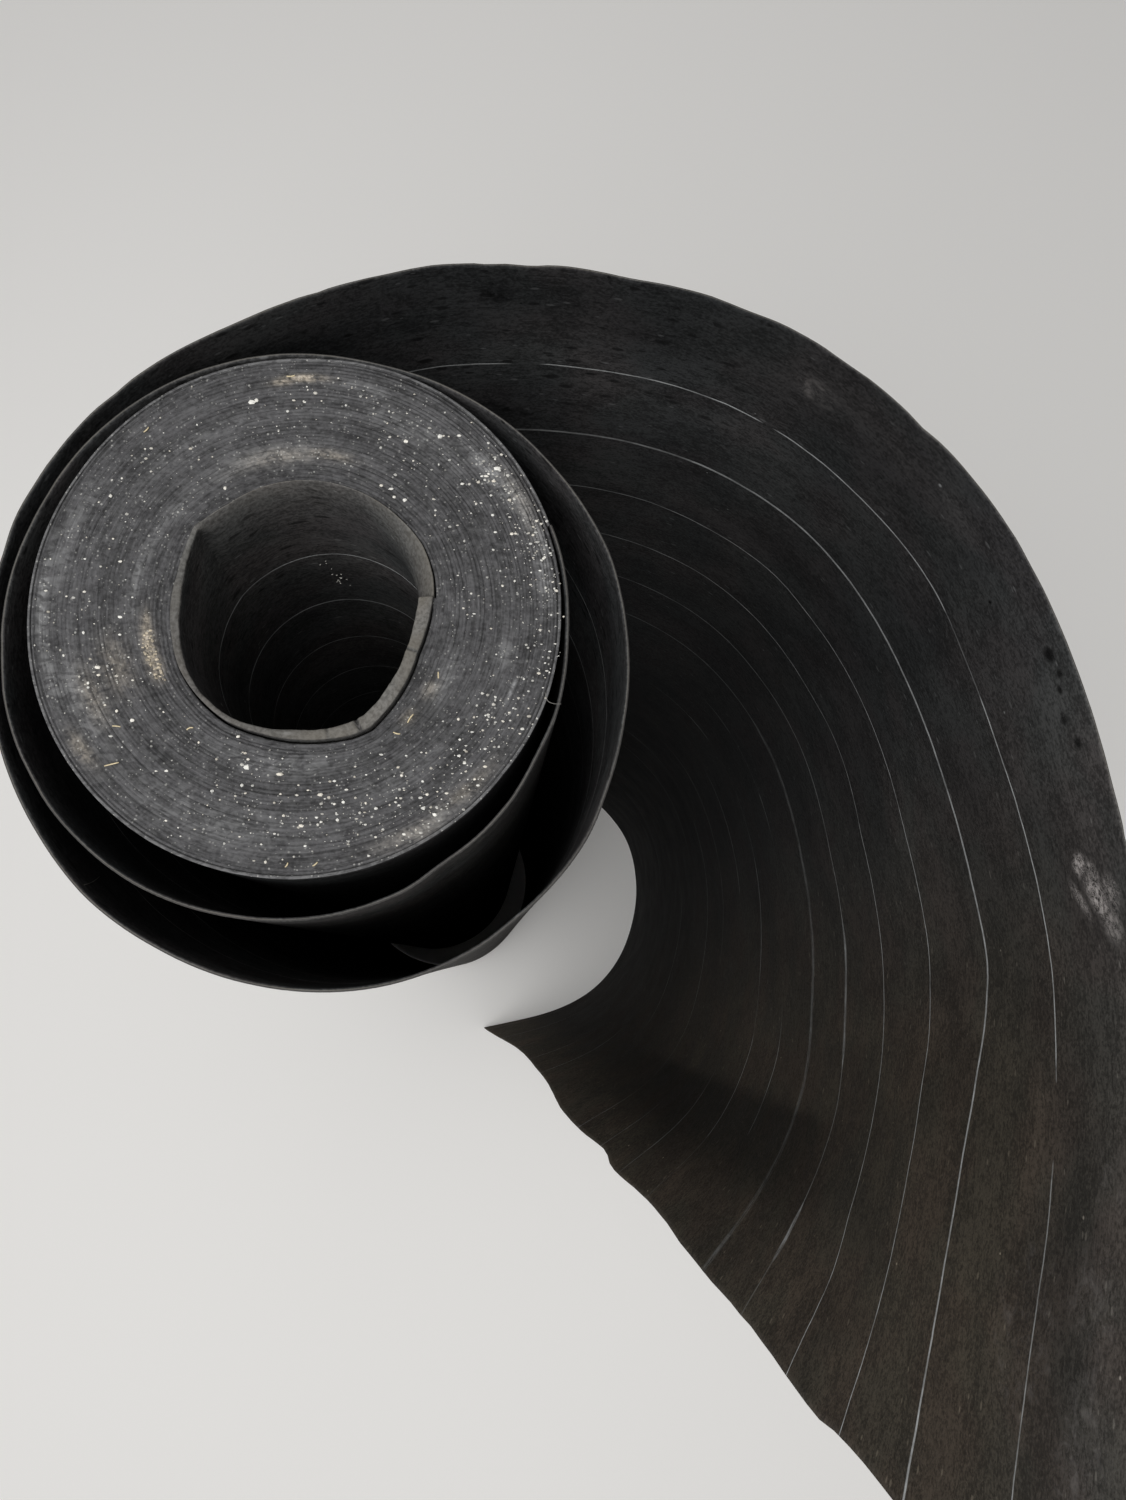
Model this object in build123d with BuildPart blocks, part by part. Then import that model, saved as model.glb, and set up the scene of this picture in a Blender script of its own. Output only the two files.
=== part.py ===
"""A roll of roofing felt standing on its end, with its outer turns sprung open.

The origin is on the axis of the roll, on the floor. +Z runs up the axis, and +X points to the loop
that the sheet makes before its free end. The sheet is one piece: the inner turns lie tight on each
other and are one turned body with a bore, and the outer turns and the free end stand clear of it.
"""
import os
from math import cos, radians, sin

from build123d import *

# Driving dimensions, in millimetres
sheet_width = 1000.0
felt_thickness = 1.1
bore_radius = 40.0
wound_turns = 36
turn_pitch = 1.12
seam_depth = 0.4
end_recess = 0.1
spring_out = 100.0

# Radius of the tightly wound part
wound_radius = bore_radius + wound_turns * turn_pitch

# The loose turns seen from above, outwards from the wound part. Each station is the angle about the
# axis, in degrees, and how far the middle of the sheet stands off the wound part, as a share of
# spring_out. The sheet winds outwards clockwise, so the angle falls.
first_loose_turn = [
    (20, -0.01),
    (-2, 0.003),
    (-30, 0.032),
    (-60, 0.083),
    (-100, 0.138),
    (-140, 0.124),
    (-180, 0.066),
    (-220, 0.032),
    (-260, 0.02),
    (-290, 0.02),
]
second_loose_turn = [
    (-320, 0.069),
    (-360, 0.172),
    (-400, 0.29),
    (-435, 0.342),
    (-470, 0.279),
    (-500, 0.187),
    (-530, 0.112),
    (-570, 0.086),
    (-600, 0.112),
]
outer_loop = [
    (-625, 0.2),
    (-640, 0.314),
    (-665, 0.605),
    (-688, 1.0),
    (-707, 1.33),
]

# The free end leans out, so its course is given at the floor, at half height and along the top,
# with the same number of stations in each. All three go on from the last station of the loop.
free_end_bottom = [
    (-721, 1.465),
    (-735, 1.515),
    (-749, 1.51),
    (-763, 1.4),
    (-777.5, 1.215),
    (-794, 1.095),
]
free_end_middle = [
    (-721, 1.51),
    (-733.5, 1.67),
    (-746, 1.84),
    (-757, 2.015),
    (-768, 2.105),
    (-779, 2.12),
]
free_end_top = [
    (-722, 1.565),
    (-736, 1.81),
    (-748, 2.09),
    (-759, 2.33),
    (-768.5, 2.69),
    (-775, 3.16),
]

# Arcs along each side of the sheet
upright_arcs = 40
free_end_arcs = 16


def station_point(station):
    """Point in plan of one station of the sheet's course."""
    angle, stand_off = station
    radius = wound_radius + stand_off * spring_out
    return radius * cos(radians(angle)), radius * sin(radians(angle))


def sheet_side(course, shift, arcs):
    """One side of the sheet, shifted square to its course, as a chain of arcs. Returns its ends."""
    points = []
    for half_arc in range(2 * arcs + 1):
        along = course.tangent_at(half_arc / (2 * arcs))
        across = Vector(-along.Y, along.X)
        points.append(course.position_at(half_arc / (2 * arcs)) + across * shift)
    for start in range(0, 2 * arcs, 2):
        ThreePointArc(*points[start : start + 3])
    return points[0], points[-1]


def sheet_outline(course, arcs):
    """Outline of the sheet in plan: its two sides and its two ends."""
    left_ends = sheet_side(course, felt_thickness / 2, arcs)
    right_ends = sheet_side(course, -felt_thickness / 2, arcs)
    for left_end, right_end in zip(left_ends, right_ends):
        Line(left_end, right_end)


def seam_profile():
    """Profile cut off the top of the wound turns.

    The edge of each turn is one narrow slanting face. The faces slant in and out by turns, so that
    seams and ridges take turns between them. The innermost and the outermost turn keep flat edges.
    """
    points = []
    for turn in range(1, wound_turns):
        drop = end_recess if turn % 2 else seam_depth
        points.append((bore_radius + turn * turn_pitch, sheet_width - drop))
    first_radius = bore_radius + turn_pitch
    last_radius = wound_radius - turn_pitch
    points[0] = (first_radius, sheet_width)
    points[-1] = (last_radius, sheet_width)
    clear_height = sheet_width + seam_depth
    return [(first_radius, clear_height), *points, (last_radius, clear_height)]


upright_stations = first_loose_turn + second_loose_turn + outer_loop
upright_course = Spline(*[station_point(station) for station in upright_stations])
loop_end = upright_course @ 1
loop_direction = upright_course % 1

with BuildPart() as roofing_felt:
    # Wound part and upright part of the loose sheet, drawn in plan as one outline
    with BuildSketch():
        with BuildLine():
            sheet_outline(upright_course, upright_arcs)
        make_face()
        Circle(wound_radius)
        Circle(bore_radius, mode=Mode.SUBTRACT)
    extrude(amount=sheet_width)

    # Turns showing on the top end and on the bottom end
    top_seams = seam_profile()
    bottom_seams = [(radius, sheet_width - height) for radius, height in top_seams]
    for seams in (top_seams, bottom_seams):
        with BuildSketch(Plane.XZ):
            with BuildLine():
                Polyline(*seams, close=True)
            make_face()
        revolve(axis=Axis.Z, mode=Mode.SUBTRACT)

    # Free end: the sheet goes on from the loop and leans out, lofted through its three courses
    for height, stations in (
        (0, free_end_bottom),
        (sheet_width / 2, free_end_middle),
        (sheet_width, free_end_top),
    ):
        points = [station_point(station) for station in stations]
        end_direction = Vector(*points[-1]) - Vector(*points[-2])
        course = Spline(
            loop_end, *points, tangents=[loop_direction, end_direction], mode=Mode.PRIVATE
        )
        with BuildSketch(Plane.XY.offset(height)):
            with BuildLine():
                sheet_outline(course, free_end_arcs)
            make_face()
    loft()

roofing_felt.part.label = "roofing_felt"
os.makedirs("parts", exist_ok=True)
export_step(roofing_felt.part, "parts/roofing_felt.step")
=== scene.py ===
"""A roll of bitumen roofing felt standing on its end, with its outer turns sprung loose.

Everything is in metres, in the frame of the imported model. The origin is on the axis of the roll, on
the floor. +Z runs up the axis, and +X points to the loop of the loose sheet.
"""

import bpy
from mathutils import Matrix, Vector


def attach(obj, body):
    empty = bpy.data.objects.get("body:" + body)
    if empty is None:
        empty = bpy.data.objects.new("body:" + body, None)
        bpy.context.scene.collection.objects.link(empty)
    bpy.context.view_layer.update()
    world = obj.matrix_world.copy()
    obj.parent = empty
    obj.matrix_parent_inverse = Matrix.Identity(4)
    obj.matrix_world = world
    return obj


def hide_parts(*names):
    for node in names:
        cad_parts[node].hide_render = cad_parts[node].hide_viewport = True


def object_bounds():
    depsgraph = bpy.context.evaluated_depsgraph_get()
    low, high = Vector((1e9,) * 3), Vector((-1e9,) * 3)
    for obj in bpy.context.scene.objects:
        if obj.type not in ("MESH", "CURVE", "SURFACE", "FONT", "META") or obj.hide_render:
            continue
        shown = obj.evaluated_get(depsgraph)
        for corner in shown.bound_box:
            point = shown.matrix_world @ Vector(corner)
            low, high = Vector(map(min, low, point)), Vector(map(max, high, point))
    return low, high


bl_info = {
    "name": "Roofing Felt Roll",
    "version": (1, 0, 0),
    "blender": (4, 5, 0),
    "location": "3D View > Sidebar > Felt Roll",
    "description": "Builds a roll of roofing felt with its outer turns sprung loose",
    "category": "Add Mesh",
}

import math
import random

import bpy
import numpy as np
from bpy.props import FloatProperty, FloatVectorProperty, IntProperty, PointerProperty
from mathutils import Matrix, Vector, noise

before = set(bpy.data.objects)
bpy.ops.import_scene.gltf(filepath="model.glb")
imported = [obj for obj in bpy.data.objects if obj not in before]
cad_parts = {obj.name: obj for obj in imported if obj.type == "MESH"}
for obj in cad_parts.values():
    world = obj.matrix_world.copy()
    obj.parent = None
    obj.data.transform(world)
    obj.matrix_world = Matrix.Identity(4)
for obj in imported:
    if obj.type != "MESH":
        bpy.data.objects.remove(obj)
CAD_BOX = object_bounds()

FELT_NODE = "roofing_felt"
BODY = "root"
MM = 0.001

# Courses of the loose sheet, outwards from the wound part: the angle about the axis in degrees, and
# how far the middle of the sheet stands off the wound part in millimetres.
LOOSE_TURNS = [
    (20, -0.6), (-2, 0.3), (-30, 3.2), (-60, 8.3), (-100, 13.8), (-140, 12.4), (-180, 6.6),
    (-220, 3.2), (-260, 2.0), (-290, 2.0), (-320, 6.9), (-360, 17.2), (-400, 29.0), (-435, 34.2),
    (-470, 27.9), (-500, 18.7), (-530, 11.2), (-570, 8.6), (-600, 11.2), (-625, 20.0), (-640, 31.4),
    (-665, 60.5), (-688, 100.0), (-707, 133.0),
]
LOOSE_START_SLOPE = (0.388, -0.9375)
LOOP_END_SLOPE = (0.5925, -0.8561)
# The free end leans out, so it has a course at the floor, at half height and along the top.
FREE_END = {
    0.0: [(-721, 146.5), (-735, 151.5), (-749, 151.0), (-763, 140.0), (-777.5, 121.5), (-794, 109.5)],
    0.5: [(-721, 151.0), (-733.5, 167.0), (-746, 184.0), (-757, 201.5), (-768, 210.5), (-779, 212.0)],
    1.0: [(-722, 156.5), (-736, 181.0), (-748, 209.0), (-759, 233.0), (-768.5, 269.0), (-775, 316.0)],
}
# How far the hand-cut end wanders from a straight cut, in millimetres, by height in metres.
CUT_WANDER = [
    (0.0, 0.0), (0.06, -4.5), (0.13, -9.8), (0.2, -8.0), (0.263, -5.0), (0.342, 2.3), (0.422, 0.8),
    (0.457, -1.3), (0.488, 2.9), (0.545, -0.2), (0.585, -0.9), (0.644, 1.1), (0.738, 0.3),
    (0.782, 2.5), (0.806, 2.7), (0.827, -0.7), (0.873, -1.3), (1.0, 1.5),
]
# Mouth of the bore, by angle in degrees: outer and inner radius of the turned-in rim and the gap
# outside it, in millimetres, and how flat the rim lies, from 0 for a soft funnel to 1 for a flat lip.
RIM = [
    (5, 39.3, 34.9, -0.3, 1.0), (-2, 38.5, 34.2, 0.4, 1.0), (-12, 37.8, 33.9, 0.65, 1.0),
    (-22, 37.6, 34.1, 0.7, 1.0), (-32, 38.7, 34.9, 0.75, 1.0), (-42, 40.0, 35.9, 0.8, 1.0),
    (-52, 41.5, 37.6, 0.8, 1.0), (-60, 43.0, 38.9, 0.8, 1.0), (-68, 42.9, 39.1, 0.8, 1.0),
    (-77, 42.0, 38.9, 0.8, 1.0), (-90, 41.3, 38.4, 0.85, 1.0), (-105, 40.9, 39.1, 0.7, 1.0),
    (-120, 41.4, 39.7, 0.6, 1.0), (-136, 40.9, 39.6, 0.45, 1.0), (-150, 40.5, 38.6, 0.35, 1.0),
    (-165, 39.3, 36.8, 0.3, 1.0), (-180, 38.8, 35.9, 0.3, 1.0), (-193, 38.4, 36.1, 0.25, 1.0),
    (-205, 39.4, 37.4, 0.2, 1.0), (-216, 41.0, 39.4, 0.15, 1.0), (-221, 40.6, 37.6, 0.15, 0.15),
    (-233, 39.7, 37.0, 0.12, 0.0), (-250, 40.1, 38.0, 0.12, 0.0), (-270, 40.3, 38.6, 0.12, 0.0),
    (-291, 40.2, 37.6, 0.12, 0.0), (-315, 40.3, 36.2, 0.15, 0.0), (-330, 40.9, 35.3, 0.2, 0.0),
    (-345, 40.3, 34.9, 0.4, 0.0), (-355, 39.5, 34.7, 0.6, 0.0),
]
INNER_END_ANGLE = 5.0
# How far down the uneven mouth of the bore reaches.
MOUTH_DEPTH = 55.0 * MM
LOOSE_START_ANGLE = 20.0
RIM_CRACKS = [(-22, 1.0), (-64, 1.9), (-77, 0.6), (-137, 0.5), (-100, 0.25), (-41, 0.3)]
# Outline of the wound end, which isn't quite round: angle in degrees, and how far the outermost
# turn stands off its true circle, in millimetres.
OUTLINE = [
    (20, -0.9), (0, -1.25), (-10, -1.0), (-20, -0.5), (-30, -0.3), (-40, -0.1), (-50, 0.7),
    (-60, 1.15), (-75, 2.1), (-90, 2.6), (-105, 2.6), (-120, 2.5), (-150, 1.6), (-180, 0.6),
    (-210, 0.1), (-240, 0.9), (-270, 0.5), (-285, 0.95), (-300, 0.9), (-310, 0.45), (-320, 0.0),
    (-330, -0.6), (-340, -0.9),
]
# How far the outermost wound turns stand apart, by turns back from the start of the loose sheet.
OUTER_GAPS = [
    (0.0, 0.9), (0.15, 0.85), (0.2, 0.45), (0.28, 0.85), (0.45, 0.9), (0.53, 0.5), (0.7, 0.4),
    (0.82, 0.45), (0.89, 0.7), (1.0, 0.8), (1.04, 0.5), (1.08, 0.35), (1.11, 0.75), (1.14, 0.7),
    (1.2, 0.3), (2.0, 0.12), (2.3, 0.0),
]

# How far the loose sheet stands off its smooth course, outwards, in millimetres, by its run in
# metres: along the top edge, and then by height in metres, at five of the pale lines and at two
# heights below them.
TOP_SWELL = [
    (0.0, -0.2), (0.035, -0.6), (0.06, 0.5), (0.074, -0.1), (0.09, 0.6), (0.104, 0.6), (0.118, -0.2),
    (0.13, 1.1), (0.152, 0.9), (0.18, -0.1), (0.21, -0.1), (0.23, -0.5), (0.26, -0.2), (0.32, -0.4),
    (0.344, -0.8), (0.36, -0.3), (0.4, 0.0), (0.42, -0.3), (0.46, -0.5), (0.48, 0.0), (0.525, -0.6),
    (0.56, 0.2), (0.59, -0.6), (0.61, -0.7), (0.636, -0.1), (0.65, 1.1), (0.66, 1.2), (0.684, 0.7),
    (0.692, 1.1), (0.72, 0.7), (0.79, -0.6), (0.816, -0.1), (0.84, -0.6), (0.93, 0.8), (0.945, 0.5),
    (0.96, -0.4), (0.99, -0.4), (1.03, -1.2), (1.056, -0.5), (1.08, -0.7), (1.096, 0.2), (1.123, -1.0),
    (1.137, -0.2), (1.16, -1.1), (1.185, 0.2), (1.2, -0.3), (1.21, 0.4), (1.24, -0.4), (1.265, -0.9),
    (1.3, 0.7), (1.314, 0.9), (1.33, 0.3), (1.36, -0.6), (1.4, -1.2), (1.45, -0.6), (1.49, -0.6),
    (1.56, 1.6),
]
LOWER_SWELLS = {
    0.9385: [
        (1.15, 0.0), (1.2, 1.8), (1.225, 1.7), (1.268, 0.4), (1.305, 1.8), (1.318, 1.1), (1.34, -1.1),
        (1.358, -1.8), (1.376, -1.8), (1.425, 0.3), (1.455, 0.3), (1.485, -0.7), (1.55, 3.4), (1.7, 2.6),
    ],
    0.884: [
        (1.14, 0.0), (1.185, 1.4), (1.214, 2.3), (1.256, 2.3), (1.34, -0.4), (1.376, -0.5), (1.43, 1.4),
        (1.456, 3.0), (1.472, 1.8), (1.5, 0.2), (1.53, -0.3), (1.58, -0.3), (1.65, 0.9),
    ],
    0.83: [
        (1.14, 0.5), (1.185, 2.0), (1.22, 1.7), (1.256, 2.3), (1.28, 0.6), (1.316, 0.8), (1.4, -0.4),
        (1.456, 1.7), (1.496, 0.1), (1.52, -2.0), (1.56, -2.2), (1.65, -0.1),
    ],
    0.775: [
        (1.17, 2.0), (1.226, 2.4), (1.28, 0.8), (1.31, 0.3), (1.34, 1.4), (1.364, 0.8), (1.395, -1.1),
        (1.455, 0.5), (1.51, 0.9), (1.55, 0.2), (1.592, 0.0), (1.622, 2.7), (1.65, 2.2),
    ],
    0.72: [
        (1.17, 1.8), (1.24, 2.1), (1.28, 0.9), (1.316, 1.3), (1.34, 1.3), (1.4, -0.7), (1.46, 1.1),
        (1.49, 0.6), (1.52, 1.4), (1.55, 2.6), (1.61, 0.4),
    ],
    0.6: [(1.5, 0.0), (1.53, 1.0), (1.56, 0.0)],
    0.45: [(1.1, 0.0)],
}
# Samples on each side over which the swell is smoothed, along the top edge and below it, and the
# number of samples along the whole run.
TOP_SMOOTHING = 10
LOWER_SMOOTHING = 22
SWELL_SAMPLES = 3000
# The second line strays from its height past the crease: run in metres and drop in millimetres.
LINE_STRAY = [
    (0.0, 0.0), (1.456, 0.0), (1.472, 2.0), (1.496, 6.5),
    (1.526, 9.5), (1.57, 9.5), (1.604, 8.0), (1.65, 5.0),
]

# Pale lengthwise lines, from the top edge down: half width in millimetres, strength, and the
# stretches of the run, in metres, with the share of the strength that they keep.
PALE_LINES = [
    (0.42, 0.95, [
        (1.119, 1.134, 0.0), (1.217, 1.226, 0.0), (1.317, 1.353, 0.3),
        (1.488, 1.521, 0.0), (1.521, 1.7, 0.6),
    ]),
    (0.75, 0.85, [(1.128, 1.2, 0.75)]),
    (0.36, 0.8, []),
    (0.36, 0.8, [(1.3, 1.36, 0.7)]),
    (0.5, 0.6, [
        (0.0, 1.3, 0.7), (1.3, 1.42, 0.8), (1.505, 1.575, 0.6),
        (1.578, 1.608, 1.05), (1.608, 1.7, 0.3),
    ]),
    (0.6, 0.3, [(1.5, 1.7, 0.7)]),
    (0.42, 0.6, [
        (0.0, 1.225, 0.5), (1.295, 1.342, 0.15), (1.384, 1.419, 0.1),
        (1.53, 1.557, 0.6), (1.557, 1.7, 0.0),
    ]),
    (0.42, 0.6, [(0.0, 1.27, 0.4), (1.29, 1.333, 0.1), (1.46, 1.5, 0.3), (1.57, 1.7, 0.2)]),
    (0.36, 0.55, [(0.0, 1.3, 0.4), (1.4, 1.45, 0.1)]),
]
FAINT_LINE = (0.36, 0.5)
LINE_COUNT = 18
# From this line down, the lines are broken up into patches.
FIRST_PATCHY_LINE = 6
# Where a line is wide and feathery: its index, start and end of the run in metres, and half width
# in millimetres.
RIBBONS = [(4, 1.425, 1.505, 1.8), (4, 1.575, 1.612, 1.7), (5, 1.3, 1.7, 2.4)]

# Cream and white flecks that stand out on the wound end: angle in degrees, radius and size in
# millimetres.
NAMED_FLECKS = [
    (104.2, 67.9, 1.3), (105.4, 67.6, 1.45), (124, 44.4, 1.1), (101, 74.9, 0.7), (167, 55.8, 0.7),
    (145, 68.0, 0.6), (54, 68.5, 1.2), (61, 61.3, 0.9), (38, 73.7, 1.2), (38, 69.4, 0.8),
    (56, 45.6, 0.9), (49, 45.4, 1.0), (53, 44.1, 0.7), (21, 67.3, 0.8), (23, 62.8, 0.7),
    (13, 74.9, 0.8), (7, 60.6, 0.6), (324, 58.5, 0.7), (301, 60.1, 0.9), (281, 61.3, 0.8),
    (265, 51.7, 1.2), (276, 64.5, 0.8), (272, 66.7, 0.9), (285, 57.9, 0.7), (316, 68.7, 0.7),
    (303, 75.2, 1.0), (295, 76.0, 0.8), (304, 68.9, 0.7), (234, 62.9, 0.7), (241, 74.8, 0.6),
    (247, 43.8, 0.9), (217, 59.8, 0.9), (199, 62.1, 0.9), (185, 53.5, 0.8), (254, 51.5, 1.1),
]
# Drifts of small grit on the wound end: angle, radius, spread round and across in millimetres,
# and how many grains.
GRIT_DRIFTS = [
    (36, 72.0, 7.0, 4.5, 46), (22, 72.5, 9.0, 3.5, 52), (8, 74.5, 10.0, 2.6, 46),
    (350, 73.0, 12.0, 4.0, 50), (335, 69.0, 10.0, 6.0, 48), (318, 71.0, 12.0, 5.0, 62),
    (301, 71.0, 11.0, 6.0, 62), (286, 65.0, 12.0, 7.0, 58), (270, 66.0, 13.0, 7.0, 46),
    (205, 61.0, 9.0, 6.0, 30), (185, 66.0, 9.0, 7.0, 26), (60, 62.0, 12.0, 8.0, 34),
    (95, 66.0, 16.0, 6.0, 22), (140, 66.0, 16.0, 7.0, 20), (250, 56.0, 12.0, 7.0, 22),
    (10, 52.0, 12.0, 7.0, 20),
]
SCATTERED_GRAINS = 260
# Bits of straw on the wound end: angle, radius, length and heading in degrees.
STRAWS = [
    (314, 47.8, 3.1, 58), (307, 48.6, 2.1, 166), (333, 46.2, 2.0, 92), (223, 72.0, 4.2, 15),
    (216, 64.4, 2.4, 175), (231, 49.3, 2.0, 20), (275, 78.0, 1.8, 40), (269, 78.0, 1.5, 60),
    (132, 73.9, 2.2, 50), (95, 74.5, 2.6, 8),
]


class FeltSheetSettings(bpy.types.PropertyGroup):
    """Sizes of the felt sheet."""

    width: FloatProperty(
        name="Sheet Width",
        description="Width of the sheet, which is the height of the roll",
        default=CAD_BOX[1].z - CAD_BOX[0].z,
        unit="LENGTH",
    )
    thickness: FloatProperty(
        name="Thickness", description="Thickness of the felt", default=1.1 * MM, unit="LENGTH"
    )
    ripple: FloatProperty(
        name="Ripple",
        description="How far the loose sheet waves along its edges",
        default=0.5 * MM,
        unit="LENGTH",
    )
    line_spacing: FloatProperty(
        name="Line Spacing",
        description="Distance between two pale lengthwise lines",
        default=54.5 * MM,
        unit="LENGTH",
    )
    first_line: FloatProperty(
        name="First Line",
        description="Height of the highest pale line",
        default=938.5 * MM,
        unit="LENGTH",
    )


class WoundPartSettings(bpy.types.PropertyGroup):
    """Sizes of the tightly wound part."""

    bore_radius: FloatProperty(
        name="Bore Radius", description="Radius of the bore", default=39.7 * MM, unit="LENGTH"
    )
    outer_radius: FloatProperty(
        name="Outer Radius",
        description="Radius of the tightly wound part",
        default=80.32 * MM,
        unit="LENGTH",
    )
    turns: IntProperty(
        name="Turns", description="Turns of the tightly wound part", default=36, min=4
    )
    seam_depth: FloatProperty(
        name="Seam Depth",
        description="Usual depth of the seam between two turns on the ends",
        default=0.2 * MM,
        unit="LENGTH",
    )
    step: FloatProperty(
        name="Turn Step",
        description="How far the edges of the turns stand in and out",
        default=0.24 * MM,
        unit="LENGTH",
    )


class FeltFinishSettings(bpy.types.PropertyGroup):
    """Colours of the felt and of what lies on it."""

    face: FloatVectorProperty(
        name="Face",
        description="Colour of the sheet's faces",
        default=(0.0225, 0.0224, 0.0228),
        subtype="COLOR",
    )
    turns: FloatVectorProperty(
        name="Turns",
        description="Colour of the wound end",
        default=(0.048, 0.047, 0.049),
        subtype="COLOR",
    )
    edge: FloatVectorProperty(
        name="Edge",
        description="Colour of a cut edge",
        default=(0.18, 0.174, 0.163),
        subtype="COLOR",
    )
    chalk: FloatVectorProperty(
        name="Chalk",
        description="Colour of the pale lines and smudges",
        default=(0.42, 0.43, 0.43),
        subtype="COLOR",
    )
    dust: FloatVectorProperty(
        name="Dust",
        description="Colour of the tan dust on the wound end",
        default=(0.36, 0.315, 0.255),
        subtype="COLOR",
    )
    grit: FloatVectorProperty(
        name="Grit",
        description="Colour of the white grit on the wound end",
        default=(0.78, 0.77, 0.72),
        subtype="COLOR",
    )


class FeltStageSettings(bpy.types.PropertyGroup):
    """Floor and light."""

    floor: FloatVectorProperty(
        name="Floor", description="Colour of the floor", default=(0.95, 0.935, 0.91), subtype="COLOR"
    )
    sky: FloatProperty(
        name="Sky Light", description="Strength of the light from all round", default=0.36, min=0.0
    )
    lamp: FloatProperty(
        name="Lamp", description="Power of the soft lamp overhead", default=26.0, unit="POWER"
    )


def settings(name):
    """One of the scene's groups of settings."""
    return getattr(bpy.context.scene, name)


# Curves and noise


def clamped_spline(points, samples, start_slope=None, end_slope=None):
    """Smooth curve through points, evenly sampled by its own parameter."""
    points = np.asarray(points, float)
    steps = np.linalg.norm(np.diff(points, axis=0), axis=1)
    knots = np.r_[0, np.cumsum(steps)]
    count = len(points)
    matrix = np.zeros((count, count))
    right = np.zeros_like(points)
    for i in range(1, count - 1):
        matrix[i, i - 1] = steps[i]
        matrix[i, i] = 2 * (steps[i - 1] + steps[i])
        matrix[i, i + 1] = steps[i - 1]
        right[i] = 3 * (
            steps[i] * (points[i] - points[i - 1]) / steps[i - 1]
            + steps[i - 1] * (points[i + 1] - points[i]) / steps[i]
        )
    for row, near, slope in ((0, 1, start_slope), (count - 1, count - 2, end_slope)):
        matrix[row, row] = 1
        if slope is None:
            matrix[row, row] = 2
            matrix[row, near] = 1
            end = (points[near] - points[row]) / (knots[near] - knots[row])
            right[row] = 3 * end
        else:
            right[row] = slope
    slopes = np.linalg.solve(matrix, right)
    places = np.linspace(0, knots[-1], samples)
    span = np.clip(np.searchsorted(knots, places) - 1, 0, count - 2)
    width = steps[span][:, None]
    t = ((places - knots[span]) / steps[span])[:, None]
    return (
        (2 * t**3 - 3 * t**2 + 1) * points[span]
        + (t**3 - 2 * t**2 + t) * width * slopes[span]
        + (-2 * t**3 + 3 * t**2) * points[span + 1]
        + (t**3 - t**2) * width * slopes[span + 1]
    )


def arc_lengths(curve):
    """Distance along a sampled curve at each of its points."""
    return np.r_[0, np.cumsum(np.linalg.norm(np.diff(curve, axis=0), axis=1))]


def along(curve, lengths, place):
    """Points of a sampled curve at distances along it. Past its end it runs straight on."""
    out = np.stack([np.interp(place, lengths, curve[:, axis]) for axis in range(2)], 1)
    heading = (curve[-1] - curve[-2]) / np.linalg.norm(curve[-1] - curve[-2])
    past = np.clip(place - lengths[-1], 0, None)
    return out + past[:, None] * heading


def station_points(stations, wound_radius):
    """Stations as points in plan, in metres."""
    angle, stand_off = np.array(stations, float).T
    radius = wound_radius + stand_off * MM
    return np.stack([radius * np.cos(np.radians(angle)), radius * np.sin(np.radians(angle))], 1)


def noise_at(*coordinates):
    """Smooth noise from about -1 to 1 at arrays of coordinates."""
    spread = np.broadcast_arrays(*coordinates)
    flat = [np.ravel(values) for values in spread]
    while len(flat) < 3:
        flat.append(np.zeros_like(flat[0]) + 0.37)
    values = [noise.noise(Vector(place)) for place in zip(*flat)]
    return np.array(values).reshape(spread[0].shape)


def smooth_step(values, low, high):
    """0 below low, 1 above high, and smooth between."""
    t = np.clip((np.asarray(values, float) - low) / (high - low), 0, 1)
    return t * t * (3 - 2 * t)


# Meshes


def grid_faces(columns, rows, wrap_rows=False):
    """Quads of a grid whose vertices are numbered down each column."""
    column = np.arange(columns - 1)[:, None]
    row = np.arange(rows if wrap_rows else rows - 1)[None, :]
    below = (row + 1) % rows
    a = column * rows + row
    b = (column + 1) * rows + row
    c = (column + 1) * rows + below
    d = column * rows + below
    return np.stack([a, b, c, d], -1).reshape(-1, 4)


def make_piece(name, vertices, faces, materials, uv=None, values=None, material_index=None):
    """A mesh piece of the roll, riding on its body."""
    mesh = bpy.data.meshes.new(name)
    mesh.from_pydata(np.asarray(vertices).tolist(), [], [list(map(int, f)) for f in faces])
    for material in materials:
        mesh.materials.append(material)
    if material_index is not None:
        mesh.polygons.foreach_set("material_index", np.asarray(material_index, np.int32))
    if uv is not None:
        corner = np.zeros(len(mesh.loops), np.int32)
        mesh.loops.foreach_get("vertex_index", corner)
        layer = mesh.uv_layers.new(name="FeltRun")
        layer.data.foreach_set("uv", np.asarray(uv, np.float32)[corner].ravel())
    for key, array in (values or {}).items():
        attribute = mesh.attributes.new(key, "FLOAT", "POINT")
        attribute.data.foreach_set("value", np.asarray(array, np.float32).ravel())
    mesh.polygons.foreach_set("use_smooth", np.ones(len(mesh.polygons), bool))
    mesh.update()
    mesh.validate()
    piece = bpy.data.objects.new(name, mesh)
    bpy.context.scene.collection.objects.link(piece)
    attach(piece, BODY)
    return piece


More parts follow.
